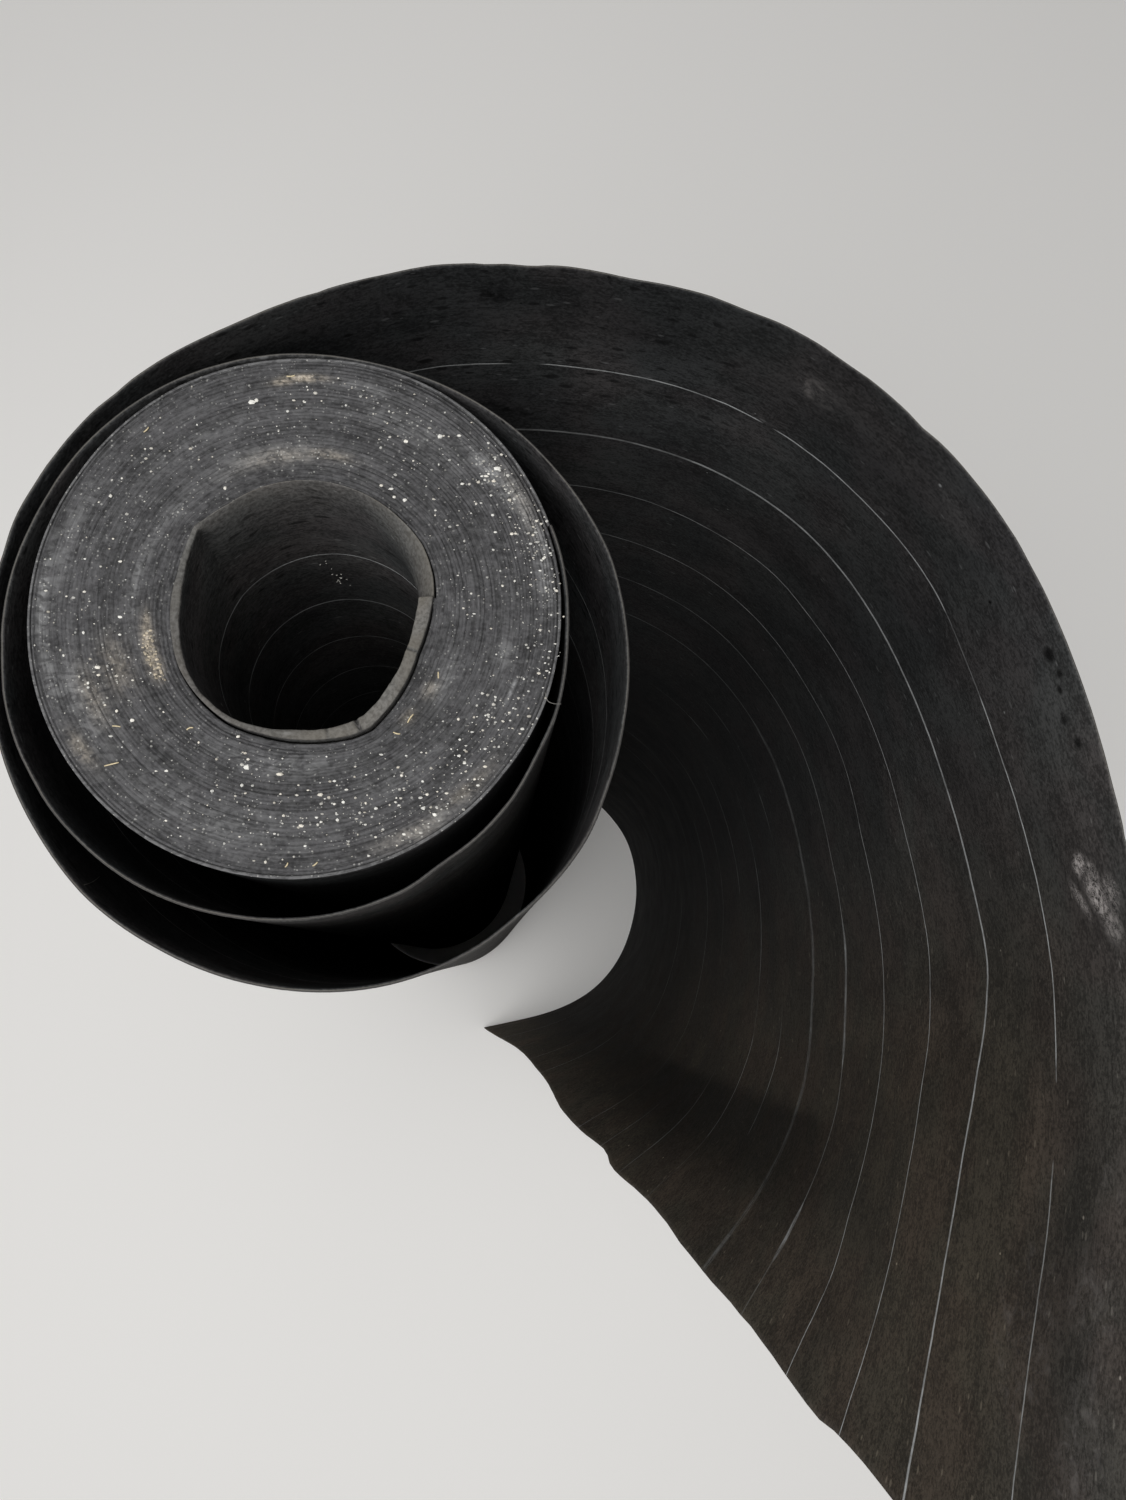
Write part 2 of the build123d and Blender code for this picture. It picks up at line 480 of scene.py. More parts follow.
def line_marks(run, height, inner_side):
    """Strength, half width and height of the nearest pale line at each place on the sheet."""
    sheet = settings("felt_sheet")
    second = sheet.first_line - sheet.line_spacing
    stray_runs, stray = np.array(LINE_STRAY).T
    near_second = 1 - smooth_step(
        np.abs(height - second), 0.2 * sheet.line_spacing, 0.8 * sheet.line_spacing
    )
    line_height = height + np.interp(run, stray_runs, stray) * MM * near_second
    number = np.rint((sheet.first_line - line_height) / sheet.line_spacing).astype(int)
    strength = np.zeros_like(run)
    half_width = np.full_like(run, FAINT_LINE[0])
    for index in range(LINE_COUNT):
        here = number == index
        if not here.any():
            continue
        if index < len(PALE_LINES):
            wide, full, stretches = PALE_LINES[index]
        else:
            (wide, full), stretches = FAINT_LINE, []
        kept = np.full(here.sum(), full)
        place = run[here]
        for start, end, share in stretches:
            kept = np.where((place >= start) & (place < end), full * share, kept)
        if index >= FIRST_PATCHY_LINE:
            patches = noise_at(place * 9, np.full_like(place, index * 3.1))
            kept = kept * smooth_step(patches, -0.15, 0.25)
        strength[here] = kept
        half_width[here] = wide
    for index, start, end, wide in RIBBONS:
        share = smooth_step(run, start, start + 0.012) * (1 - smooth_step(run, end - 0.008, end))
        half_width = np.where(number == index, half_width + (wide - half_width) * share, half_width)
    return strength * inner_side, half_width, line_height


# Shader nodes


def feed(tree, socket, value):
    """Sets an input, or links it to an output."""
    if isinstance(value, bpy.types.NodeSocket):
        tree.links.new(value, socket)
    else:
        socket.default_value = value


def add(tree, kind, inputs=None, **attributes):
    """Adds a node with its attributes and inputs."""
    node = tree.nodes.new(kind)
    for key, value in attributes.items():
        setattr(node, key, value)
    for key, value in (inputs or {}).items():
        feed(tree, node.inputs[key], value)
    return node


def maths(tree, operation, *operands, clamp=False):
    """Output of a Math node."""
    node = add(tree, "ShaderNodeMath", dict(enumerate(operands)), operation=operation)
    node.use_clamp = clamp
    return node.outputs[0]


def vector_maths(tree, operation, *operands):
    """Output of a Vector Math node."""
    node = add(tree, "ShaderNodeVectorMath", dict(enumerate(operands)), operation=operation)
    return node.outputs["Value" if operation in ("LENGTH", "DOT_PRODUCT") else "Vector"]


def ramp_between(tree, value, low, high, out_low=0.0, out_high=1.0):
    """Value from low to high as a smooth step from out_low to out_high."""
    node = add(
        tree,
        "ShaderNodeMapRange",
        {"Value": value, "From Min": low, "From Max": high, "To Min": out_low, "To Max": out_high},
        interpolation_type="SMOOTHSTEP",
    )
    return node.outputs["Result"]


def mixed(tree, factor, first, second, blend="MIX"):
    """Colour between first and second."""
    node = tree.nodes.new("ShaderNodeMix")
    node.data_type = "RGBA"
    node.blend_type = blend
    node.clamp_factor = True
    feed(tree, node.inputs[0], factor)
    feed(tree, node.inputs[6], first)
    feed(tree, node.inputs[7], second)
    return node.outputs[2]


def mixed_value(tree, factor, first, second):
    """Value between two values, by a factor."""
    step = maths(tree, "SUBTRACT", second, first)
    return maths(tree, "ADD", first, maths(tree, "MULTIPLY", step, factor))


def noise_value(tree, vector, scale, detail=3.0, roughness=0.55, distortion=0.0):
    """Factor of a Noise Texture."""
    inputs = {
        "Vector": vector,
        "Scale": scale,
        "Detail": detail,
        "Roughness": roughness,
        "Distortion": distortion,
    }
    return add(tree, "ShaderNodeTexNoise", inputs).outputs[0]


def attribute_value(tree, name):
    """Value of a mesh attribute."""
    return add(tree, "ShaderNodeAttribute", attribute_name=name).outputs["Fac"]


def combined(tree, x, y, z=0.0):
    """Vector from three values."""
    return add(tree, "ShaderNodeCombineXYZ", {"X": x, "Y": y, "Z": z}).outputs[0]


def colour(values, factor=1.0):
    """Colour with full alpha, made lighter or darker by a factor."""
    return (*[value * factor for value in values], 1.0)


def effect_group(name, inputs, outputs):
    """Empty node group with its sockets. Returns the tree, its inputs and its output node."""
    tree = bpy.data.node_groups.new(name, "ShaderNodeTree")
    for socket, kind, default in inputs:
        made = tree.interface.new_socket(socket, in_out="INPUT", socket_type=kind)
        made.default_value = default
    for socket in outputs:
        tree.interface.new_socket(socket, in_out="OUTPUT", socket_type="NodeSocketFloat")
    source = tree.nodes.new("NodeGroupInput")
    return tree, source.outputs, tree.nodes.new("NodeGroupOutput")


def fibre_effect():
    """Felt's fibre: fine threads along the run, a coarser mottle, loose wisps and a fine grain."""
    found = bpy.data.node_groups.get("Felt Fibre")
    if found:
        return found
    tree, given, out = effect_group(
        "Felt Fibre",
        [
            ("Place", "NodeSocketVector", (0.0, 0.0, 0.0)),
            ("Thread Length", "NodeSocketFloat", 0.006),
            ("Thread Width", "NodeSocketFloat", 0.0006),
        ],
        ["Thread", "Mottle", "Wisp", "Grain"],
    )
    split = add(tree, "ShaderNodeSeparateXYZ", {0: given["Place"]}).outputs
    thread_place = combined(
        tree,
        maths(tree, "DIVIDE", split[0], given["Thread Length"]),
        maths(tree, "DIVIDE", split[1], given["Thread Width"]),
        split[2],
    )
    thread = noise_value(tree, thread_place, 1.0, 2.0, 0.6, 0.3)
    drawn_out = combined(tree, maths(tree, "MULTIPLY", split[0], 0.6), split[1], split[2])
    mottle = noise_value(tree, drawn_out, 52.0, 4.0, 0.6, 0.25)
    wisp = noise_value(tree, drawn_out, 380.0, 2.0, 0.7, 0.9)
    grain = noise_value(tree, given["Place"], 760.0, 2.0, 0.65, 0.2)
    for socket, value in (("Thread", thread), ("Mottle", mottle), ("Wisp", wisp), ("Grain", grain)):
        feed(tree, out.inputs[socket], value)
    return tree


def line_effect():
    """Pale lengthwise lines: thin where they are crisp, and wispy where they are wide."""
    found = bpy.data.node_groups.get("Pale Lines")
    if found:
        return found
    tree, given, out = effect_group(
        "Pale Lines",
        [
            ("Run", "NodeSocketFloat", 0.0),
            ("Height", "NodeSocketFloat", 0.0),
            ("First Line", "NodeSocketFloat", 0.938),
            ("Spacing", "NodeSocketFloat", 0.0545),
            ("Half Width", "NodeSocketFloat", 0.4),
            ("Strength", "NodeSocketFloat", 0.5),
        ],
        ["Mask"],
    )
    run = combined(tree, given["Run"], maths(tree, "MULTIPLY", given["Height"], 0.15))
    slow = maths(tree, "SUBTRACT", noise_value(tree, run, 7.0, 1.0), 0.5)
    quick = maths(tree, "SUBTRACT", noise_value(tree, run, 70.0, 2.0), 0.5)
    waver = maths(
        tree,
        "ADD",
        maths(tree, "MULTIPLY", slow, 0.004),
        maths(tree, "MULTIPLY", quick, 0.0009),
    )
    drop = maths(tree, "SUBTRACT", given["First Line"], given["Height"])
    drop = maths(tree, "ADD", drop, waver)
    count = maths(tree, "DIVIDE", drop, given["Spacing"])
    off = maths(tree, "SUBTRACT", count, maths(tree, "ROUND", count))
    distance = maths(tree, "MULTIPLY", maths(tree, "ABSOLUTE", off), given["Spacing"])
    half = maths(tree, "MULTIPLY", given["Half Width"], MM)
    share = maths(tree, "DIVIDE", distance, half)
    core = ramp_between(tree, share, 1.3, 0.3)
    grain_place = combined(
        tree,
        maths(tree, "MULTIPLY", given["Run"], 210.0),
        maths(tree, "MULTIPLY", given["Height"], 1900.0),
    )
    crisp = ramp_between(tree, noise_value(tree, grain_place, 1.0, 3.0, 0.7, 0.8), 0.0, 0.6)
    feather_place = combined(
        tree,
        maths(tree, "MULTIPLY", given["Run"], 55.0),
        maths(tree, "MULTIPLY", given["Height"], 1000.0),
    )
    feather = ramp_between(tree, noise_value(tree, feather_place, 1.0, 4.0, 0.72, 1.1), 0.36, 0.62)
    width_share = ramp_between(tree, given["Half Width"], 0.9, 1.6)
    texture = mixed_value(tree, width_share, crisp, feather)
    knots = ramp_between(
        tree, noise_value(tree, combined(tree, given["Run"], 3.3), 60.0, 4.0, 0.7), 0.3, 0.66, 0.5, 1.25
    )
    body = maths(tree, "MULTIPLY", maths(tree, "MULTIPLY", core, texture), knots)
    feed(tree, out.inputs["Mask"], maths(tree, "MULTIPLY", body, given["Strength"], clamp=True))
    return tree


def mark_effect():
    """One mark at a place, broken up by wisps and by thin threads."""
    found = bpy.data.node_groups.get("Soft Mark")
    if found:
        return found
    tree, given, out = effect_group(
        "Soft Mark",
        [
            ("Place", "NodeSocketVector", (0.0, 0.0, 0.0)),
            ("Centre", "NodeSocketVector", (0.0, 0.0, 0.0)),
            ("Spread", "NodeSocketVector", (0.01, 0.01, 1.0)),
            ("Wisp Scale", "NodeSocketFloat", 120.0),
            ("Wisp Cut", "NodeSocketFloat", 0.5),
            ("Threads", "NodeSocketFloat", 0.0),
        ],
        ["Mask"],
    )
    offset = vector_maths(tree, "SUBTRACT", given["Place"], given["Centre"])
    scaled = vector_maths(tree, "DIVIDE", offset, given["Spread"])
    distance = vector_maths(tree, "LENGTH", scaled)
    envelope = ramp_between(tree, distance, 1.0, 0.25)
    wisps = noise_value(tree, given["Place"], given["Wisp Scale"], 3.0, 0.65, 0.6)
    high = maths(tree, "ADD", given["Wisp Cut"], 0.16)
    low = maths(tree, "SUBTRACT", given["Wisp Cut"], 0.08)
    cut = ramp_between(tree, wisps, low, high)
    finer = maths(tree, "MULTIPLY", given["Wisp Scale"], 1.9)
    shifted = vector_maths(tree, "ADD", given["Place"], (3.1, 0.0, 0.0))
    folds = noise_value(tree, shifted, finer, 2.0, 0.6, 1.2)
    fold = maths(tree, "ABSOLUTE", maths(tree, "SUBTRACT", folds, 0.5))
    thread = maths(tree, "MULTIPLY", ramp_between(tree, fold, 0.055, 0.0), given["Threads"])
    body = maths(tree, "MAXIMUM", cut, thread)
    feed(tree, out.inputs["Mask"], maths(tree, "MULTIPLY", envelope, body))
    return tree


def speck_effect():
    """Small specks of dust, scattered at random."""
    found = bpy.data.node_groups.get("Dust Specks")
    if found:
        return found
    tree, given, out = effect_group(
        "Dust Specks",
        [
            ("Place", "NodeSocketVector", (0.0, 0.0, 0.0)),
            ("Scale", "NodeSocketFloat", 500.0),
            ("Share", "NodeSocketFloat", 0.1),
            ("Size", "NodeSocketFloat", 0.3),
        ],
        ["Mask"],
    )
    cells = add(
        tree,
        "ShaderNodeTexVoronoi",
        {"Vector": given["Place"], "Scale": given["Scale"]},
        feature="F1",
    )
    split = add(tree, "ShaderNodeSeparateColor", {0: cells.outputs["Color"]}).outputs
    chosen = maths(tree, "LESS_THAN", split[0], given["Share"])
    size = maths(tree, "MULTIPLY", given["Size"], maths(tree, "ADD", split[1], 0.25))
    inner = maths(tree, "MULTIPLY", size, 0.5)
    dot = ramp_between(tree, cells.outputs["Distance"], size, inner)
    feed(tree, out.inputs["Mask"], maths(tree, "MULTIPLY", dot, chosen))
    return tree


def placed(tree, group, inputs):
    """Outputs of an effect group placed in a material."""
    node = tree.nodes.new("ShaderNodeGroup")
    node.node_tree = group
    for key, value in inputs.items():
        feed(tree, node.inputs[key], value)
    return node.outputs


def new_material(name):
    """Empty material and its Principled BSDF."""
    material = bpy.data.materials.new(name)
    material.use_nodes = True
    tree = material.node_tree
    shader = tree.nodes["Principled BSDF"]
    return material, tree, shader


def bumped(tree, height, strength, distance):
    """Normal of a Bump node."""
    inputs = {"Height": height, "Strength": strength, "Distance": distance}
    return add(tree, "ShaderNodeBump", inputs).outputs[0]


# Smudges on the sheet: run and height in metres, spread along and across, wisp cut, threads and
# strength. The scuff was rubbed on slantwise, by an angle in degrees.
SMUDGES = [
    ((1.231, 0.9765), (0.012, 0.009), 0.5, 0.3, 0.16),
    ((1.575, 0.935), (0.045, 0.028), 0.56, 0.2, 0.1),
    ((1.553, 0.972), (0.02, 0.02), 0.52, 0.5, 0.15),
    ((1.60, 0.975), (0.05, 0.02), 0.55, 0.4, 0.16),
    ((1.517, 0.976), (0.02, 0.014), 0.56, 0.3, 0.1),
]
SCUFF_SLANT = 36.0
SCUFF_DRAW = 0.62
SCUFF = [
    ((1.4302, 0.9770), (0.0125, 0.0064), 0.50, 1.0, 1.0),
    ((1.4192, 0.9703), (0.0052, 0.0064), 0.50, 1.0, 0.95),
    ((1.4222, 0.9770), (0.0085, 0.0046), 0.54, 1.0, 0.6),
    ((1.4305, 0.9660), (0.0105, 0.0032), 0.54, 1.0, 0.65),
    ((1.4385, 0.9822), (0.0095, 0.0070), 0.51, 1.0, 0.6),
    ((1.4290, 0.9855), (0.0080, 0.0076), 0.54, 1.0, 0.55),
]
OILY_SPOTS = [
    ((1.3515, 0.9898), (0.0042, 0.0042), 0.2, 0.0, 0.95),
    ((1.3585, 0.9916), (0.0022, 0.003), 0.2, 0.0, 0.85),
    ((1.3632, 0.9885), (0.0024, 0.0022), 0.2, 0.0, 0.9),
    ((1.3725, 0.9852), (0.0032, 0.0026), 0.3, 0.0, 0.85),
    ((1.3812, 0.989), (0.0032, 0.0028), 0.25, 0.0, 0.95),
    ((1.326, 0.9697), (0.0012, 0.0014), 0.2, 0.0, 0.95),
    ((1.122, 0.9), (0.016, 0.008), 0.47, 0.0, 0.8),
    ((1.115, 0.983), (0.01, 0.006), 0.45, 0.0, 0.7),
]


def slanted(place, degrees):
    """A place on the sheet in coordinates turned by an angle."""
    turn = math.radians(degrees)
    return (
        place[0] * math.cos(turn) + place[1] * math.sin(turn),
        place[1] * math.cos(turn) - place[0] * math.sin(turn),
    )


def marks_on(tree, place, marks, scale, slant=0.0, draw_out=1.0):
    """Strongest of several marks at each place of the sheet."""
    strongest = None
    for centre, spread, cut, threads, strength in marks:
        middle = slanted(centre, slant)
        mark = placed(
            tree,
            mark_effect(),
            {
                "Place": place,
                "Centre": (middle[0] * draw_out, middle[1], 0.0),
                "Spread": (spread[0] * draw_out, spread[1], 1.0),
                "Wisp Scale": scale,
                "Wisp Cut": cut,
                "Threads": threads,
            },
        )["Mask"]
        mark = maths(tree, "MULTIPLY", mark, strength)
        strongest = mark if strongest is None else maths(tree, "MAXIMUM", strongest, mark)
    return strongest


def specks_at(tree, place, scale, share, size):
    """Mask of small specks."""
    inputs = {"Place": place, "Scale": scale, "Share": share, "Size": size}
    return placed(tree, speck_effect(), inputs)["Mask"]


def felt_face_material():
    """Faces of the sheet, with its cut edges where the mesh says so."""
    found = bpy.data.materials.get("felt_face")
    if found:
        return found
    finish, sheet = settings("felt_finish"), settings("felt_sheet")
    material, tree, shader = new_material("felt_face")
    uv = add(tree, "ShaderNodeUVMap", uv_map="FeltRun").outputs[0]
    place = add(tree, "ShaderNodeSeparateXYZ", {0: uv}).outputs
    fibre = placed(tree, fibre_effect(), {"Place": uv})
    broad = noise_value(tree, uv, 15.0, 3.0, 0.55, 0.3)
    hue = noise_value(tree, vector_maths(tree, "ADD", uv, (7.0, 2.0, 0.0)), 24.0, 2.0, 0.5, 0.2)

    # Felted fibre: a fine light and dark grain, a little drawn out along the sheet
    mottle = ramp_between(tree, fibre["Mottle"], 0.3, 0.7)
    wisp = ramp_between(tree, fibre["Wisp"], 0.28, 0.72)
    grain = ramp_between(tree, fibre["Grain"], 0.3, 0.7)
    thread = ramp_between(tree, fibre["Thread"], 0.3, 0.7)
    shade = maths(tree, "MULTIPLY", grain, 0.32)
    for part, weight in ((wisp, 0.3), (thread, 0.14), (mottle, 0.24)):
        shade = maths(tree, "ADD", shade, maths(tree, "MULTIPLY", part, weight))
    base = mixed(
        tree,
        ramp_between(tree, shade, 0.2, 0.8),
        colour(finish.face, 0.56),
        colour(finish.face, 1.52),
    )
    cloud = ramp_between(tree, broad, 0.35, 0.68)
    base = mixed(
        tree, 1.0, base, mixed(tree, cloud, (0.86, 0.87, 0.88, 1), (1.2, 1.19, 1.17, 1)), "MULTIPLY"
    )
    tint = ramp_between(tree, hue, 0.4, 0.62)
    base = mixed(
        tree, 1.0, base, mixed(tree, tint, (0.97, 1.005, 1.0, 1), (1.04, 0.995, 0.995, 1)), "MULTIPLY"
    )

    # Dark dashes and pin holes, and light dabs
    drawn_out = combined(tree, maths(tree, "MULTIPLY", place[0], 0.42), place[1])
    upper = ramp_between(tree, place[1], 0.87, 0.93)
    early = ramp_between(tree, place[0], 1.3, 1.16)
    many = maths(tree, "MULTIPLY", upper, early)
    dashes = specks_at(tree, drawn_out, 300.0, 0.34, 0.42)
    dashes = maths(tree, "MULTIPLY", dashes, ramp_between(tree, many, 0.0, 1.0, 0.0, 0.75))
    base = mixed(tree, dashes, base, colour(finish.face, 0.2))
    pin_holes = maths(tree, "MULTIPLY", specks_at(tree, uv, 105.0, 0.16, 0.085), 0.85)
    base = mixed(tree, pin_holes, base, colour(finish.face, 0.12))
    strokes = maths(tree, "MULTIPLY", specks_at(tree, drawn_out, 420.0, 0.1, 0.3), 0.2)
    base = mixed(tree, strokes, base, colour(finish.chalk, 0.43))
    dabs = maths(tree, "MULTIPLY", specks_at(tree, uv, 130.0, 0.1, 0.1), 0.5)
    base = mixed(tree, dabs, base, colour(finish.chalk, 0.57))

    oily = marks_on(tree, uv, OILY_SPOTS, 260.0)
    base = mixed(tree, oily, base, colour(finish.face, 0.15))

    # Painted shade deep down in the roll and painted light in its gaps, carried by the mesh, and a
    # painted warm reflection towards the free end
    warmth_and_painted_reflection = mixed(tree, attribute_value(tree, "warm_and_painted_reflection"), (1, 1, 1, 1), (1.2, 1.0, 0.76, 1))
    base = mixed(tree, 1.0, base, warmth_and_painted_reflection, "MULTIPLY")
    tone_and_painted_light = attribute_value(tree, "tone_and_painted_light")
    base = vector_maths(tree, "SCALE", base)
    feed(tree, base.node.inputs["Scale"], tone_and_painted_light)

    lines = placed(
        tree,
        line_effect(),
        {
            "Run": place[0],
            "Height": attribute_value(tree, "line_height"),
            "First Line": sheet.first_line,
            "Spacing": sheet.line_spacing,
            "Half Width": attribute_value(tree, "line_half_width"),
            "Strength": attribute_value(tree, "line_strength"),
        },
    )["Mask"]
    # The pale lines take half of the painted light and shade.
    half_lit = maths(tree, "POWER", maths(tree, "MULTIPLY", tone_and_painted_light, 0.2), 0.5)
    chalk = mixed(tree, half_lit, (0, 0, 0, 1), colour(finish.chalk, 2.0))
    base = mixed(tree, lines, base, chalk)
    rubbed = marks_on(tree, uv, SMUDGES, 150.0)
    turned = math.radians(SCUFF_SLANT)
    lengthwise = maths(
        tree,
        "ADD",
        maths(tree, "MULTIPLY", place[0], math.cos(turned) * SCUFF_DRAW),
        maths(tree, "MULTIPLY", place[1], math.sin(turned) * SCUFF_DRAW),
    )
    crosswise = maths(
        tree,
        "SUBTRACT",
        maths(tree, "MULTIPLY", place[1], math.cos(turned)),
        maths(tree, "MULTIPLY", place[0], math.sin(turned)),
    )
    scuff = marks_on(
        tree, combined(tree, lengthwise, crosswise), SCUFF, 600.0, SCUFF_SLANT, SCUFF_DRAW
    )
    rubbed = maths(tree, "MAXIMUM", rubbed, scuff)
    chalky = (finish.chalk[0] * 1.14, finish.chalk[1] * 1.03, finish.chalk[2] * 0.99, 1.0)
    base = mixed(tree, rubbed, base, chalky)

    edge = attribute_value(tree, "edge")
    worn = ramp_between(tree, fibre["Grain"], 0.3, 0.68)
    grubby = ramp_between(tree, fibre["Mottle"], 0.36, 0.62)
    edge_colour = mixed(tree, worn, colour(finish.edge, 0.6), colour(finish.edge, 1.06))
    dirty = (finish.edge[0] * 0.72, finish.edge[1] * 0.66, finish.edge[2] * 0.56, 1.0)
    edge_colour = mixed(tree, maths(tree, "MULTIPLY", grubby, 0.6), edge_colour, dirty)
    base = mixed(tree, edge, base, edge_colour)
    feed(tree, shader.inputs["Base Color"], base)

    gloss = maths(tree, "MULTIPLY", oily, -0.35)
    rough = maths(tree, "ADD", ramp_between(tree, fibre["Mottle"], 0.25, 0.75, 0.68, 0.82), gloss)
    rough = maths(tree, "ADD", rough, maths(tree, "MULTIPLY", lines, 0.15), clamp=True)
    feed(tree, shader.inputs["Roughness"], rough)
    shader.inputs["Specular IOR Level"].default_value = 0.08

    height = maths(tree, "MULTIPLY", fibre["Thread"], 0.4)
    height = maths(tree, "ADD", height, maths(tree, "MULTIPLY", fibre["Wisp"], 0.7))
    height = maths(tree, "ADD", height, maths(tree, "MULTIPLY", fibre["Grain"], 0.5))
    height = maths(tree, "ADD", height, maths(tree, "MULTIPLY", lines, 0.3))
    feed(tree, shader.inputs["Normal"], bumped(tree, height, 0.5, 0.0005))
    return material


# Dust on the wound end: angle in degrees, radius in millimetres, spread round in degrees and
# across in millimetres, and strength. Tan dust first, then pale powder.
TAN_DUST = [
    (-165, 46.3, 8, 1.7, 1.0), (-156, 46.6, 5, 1.9, 1.0), (-172, 46.0, 4, 1.2, 0.7),
    (101, 48.5, 14, 2.4, 0.3), (84, 48.8, 9, 1.6, 0.42), (92, 73.9, 4.5, 1.2, 1.0),
    (97, 72.8, 2.5, 1.0, 0.8), (-144, 76.2, 4, 2.0, 0.42), (-154, 66.5, 7, 3.0, 0.3),
    (-160, 57.0, 8, 4.0, 0.3), (28, 74.5, 8, 2.4, 0.2), (-63, 77.0, 8, 2.2, 0.26),
    (-48, 75.0, 8, 2.4, 0.22), (-33, 46.5, 4, 2.0, 0.3), (-46, 47.0, 3, 1.8, 0.35),
]
PALE_POWDER = [
    (38, 71.5, 9, 2.6, 0.6), (28, 74.0, 9, 2.4, 0.55), (17, 75.0, 8, 2.0, 0.5),
    (8, 74.0, 9, 2.4, 0.5), (338.5, 68.0, 2.8, 0.45, 1.0), (347, 62.8, 4, 3.0, 0.3),
    (300, 77.0, 9, 1.8, 0.45), (180, 76.5, 12, 1.6, 0.6), (196, 75.5, 9, 2.0, 0.45),
    (165, 73.0, 14, 3.0, 0.25), (172, 50.0, 16, 1.4, 0.4), (150, 49.0, 14, 1.8, 0.35),
    (104, 49.0, 22, 3.0, 0.42), (77, 72.5, 6, 1.6, 0.45), (-155, 70.0, 12, 4.5, 0.35),
    (-95, 49.0, 20, 3.5, 0.3), (-60, 60.0, 16, 3.0, 0.16), (250, 70.0, 22, 5.0, 0.2),
    (120, 62.0, 24, 2.5, 0.16), (-30, 48.5, 9, 2.6, 0.4), (60, 66.0, 18, 4.0, 0.22),
]


def dust_cover(patches, degrees, radius):
    """How thickly the dust of some patches lies at angles in degrees and radii in metres."""
    cover = np.zeros(np.shape(radius))
    for angle, middle, round_spread, across_spread, strength in patches:
        off = (degrees - angle + 180.0) % 360.0 - 180.0
        across = (radius / MM - middle) / across_spread
        cover = np.maximum(cover, strength * np.exp(-((off / round_spread) ** 2) - across**2))
    return cover


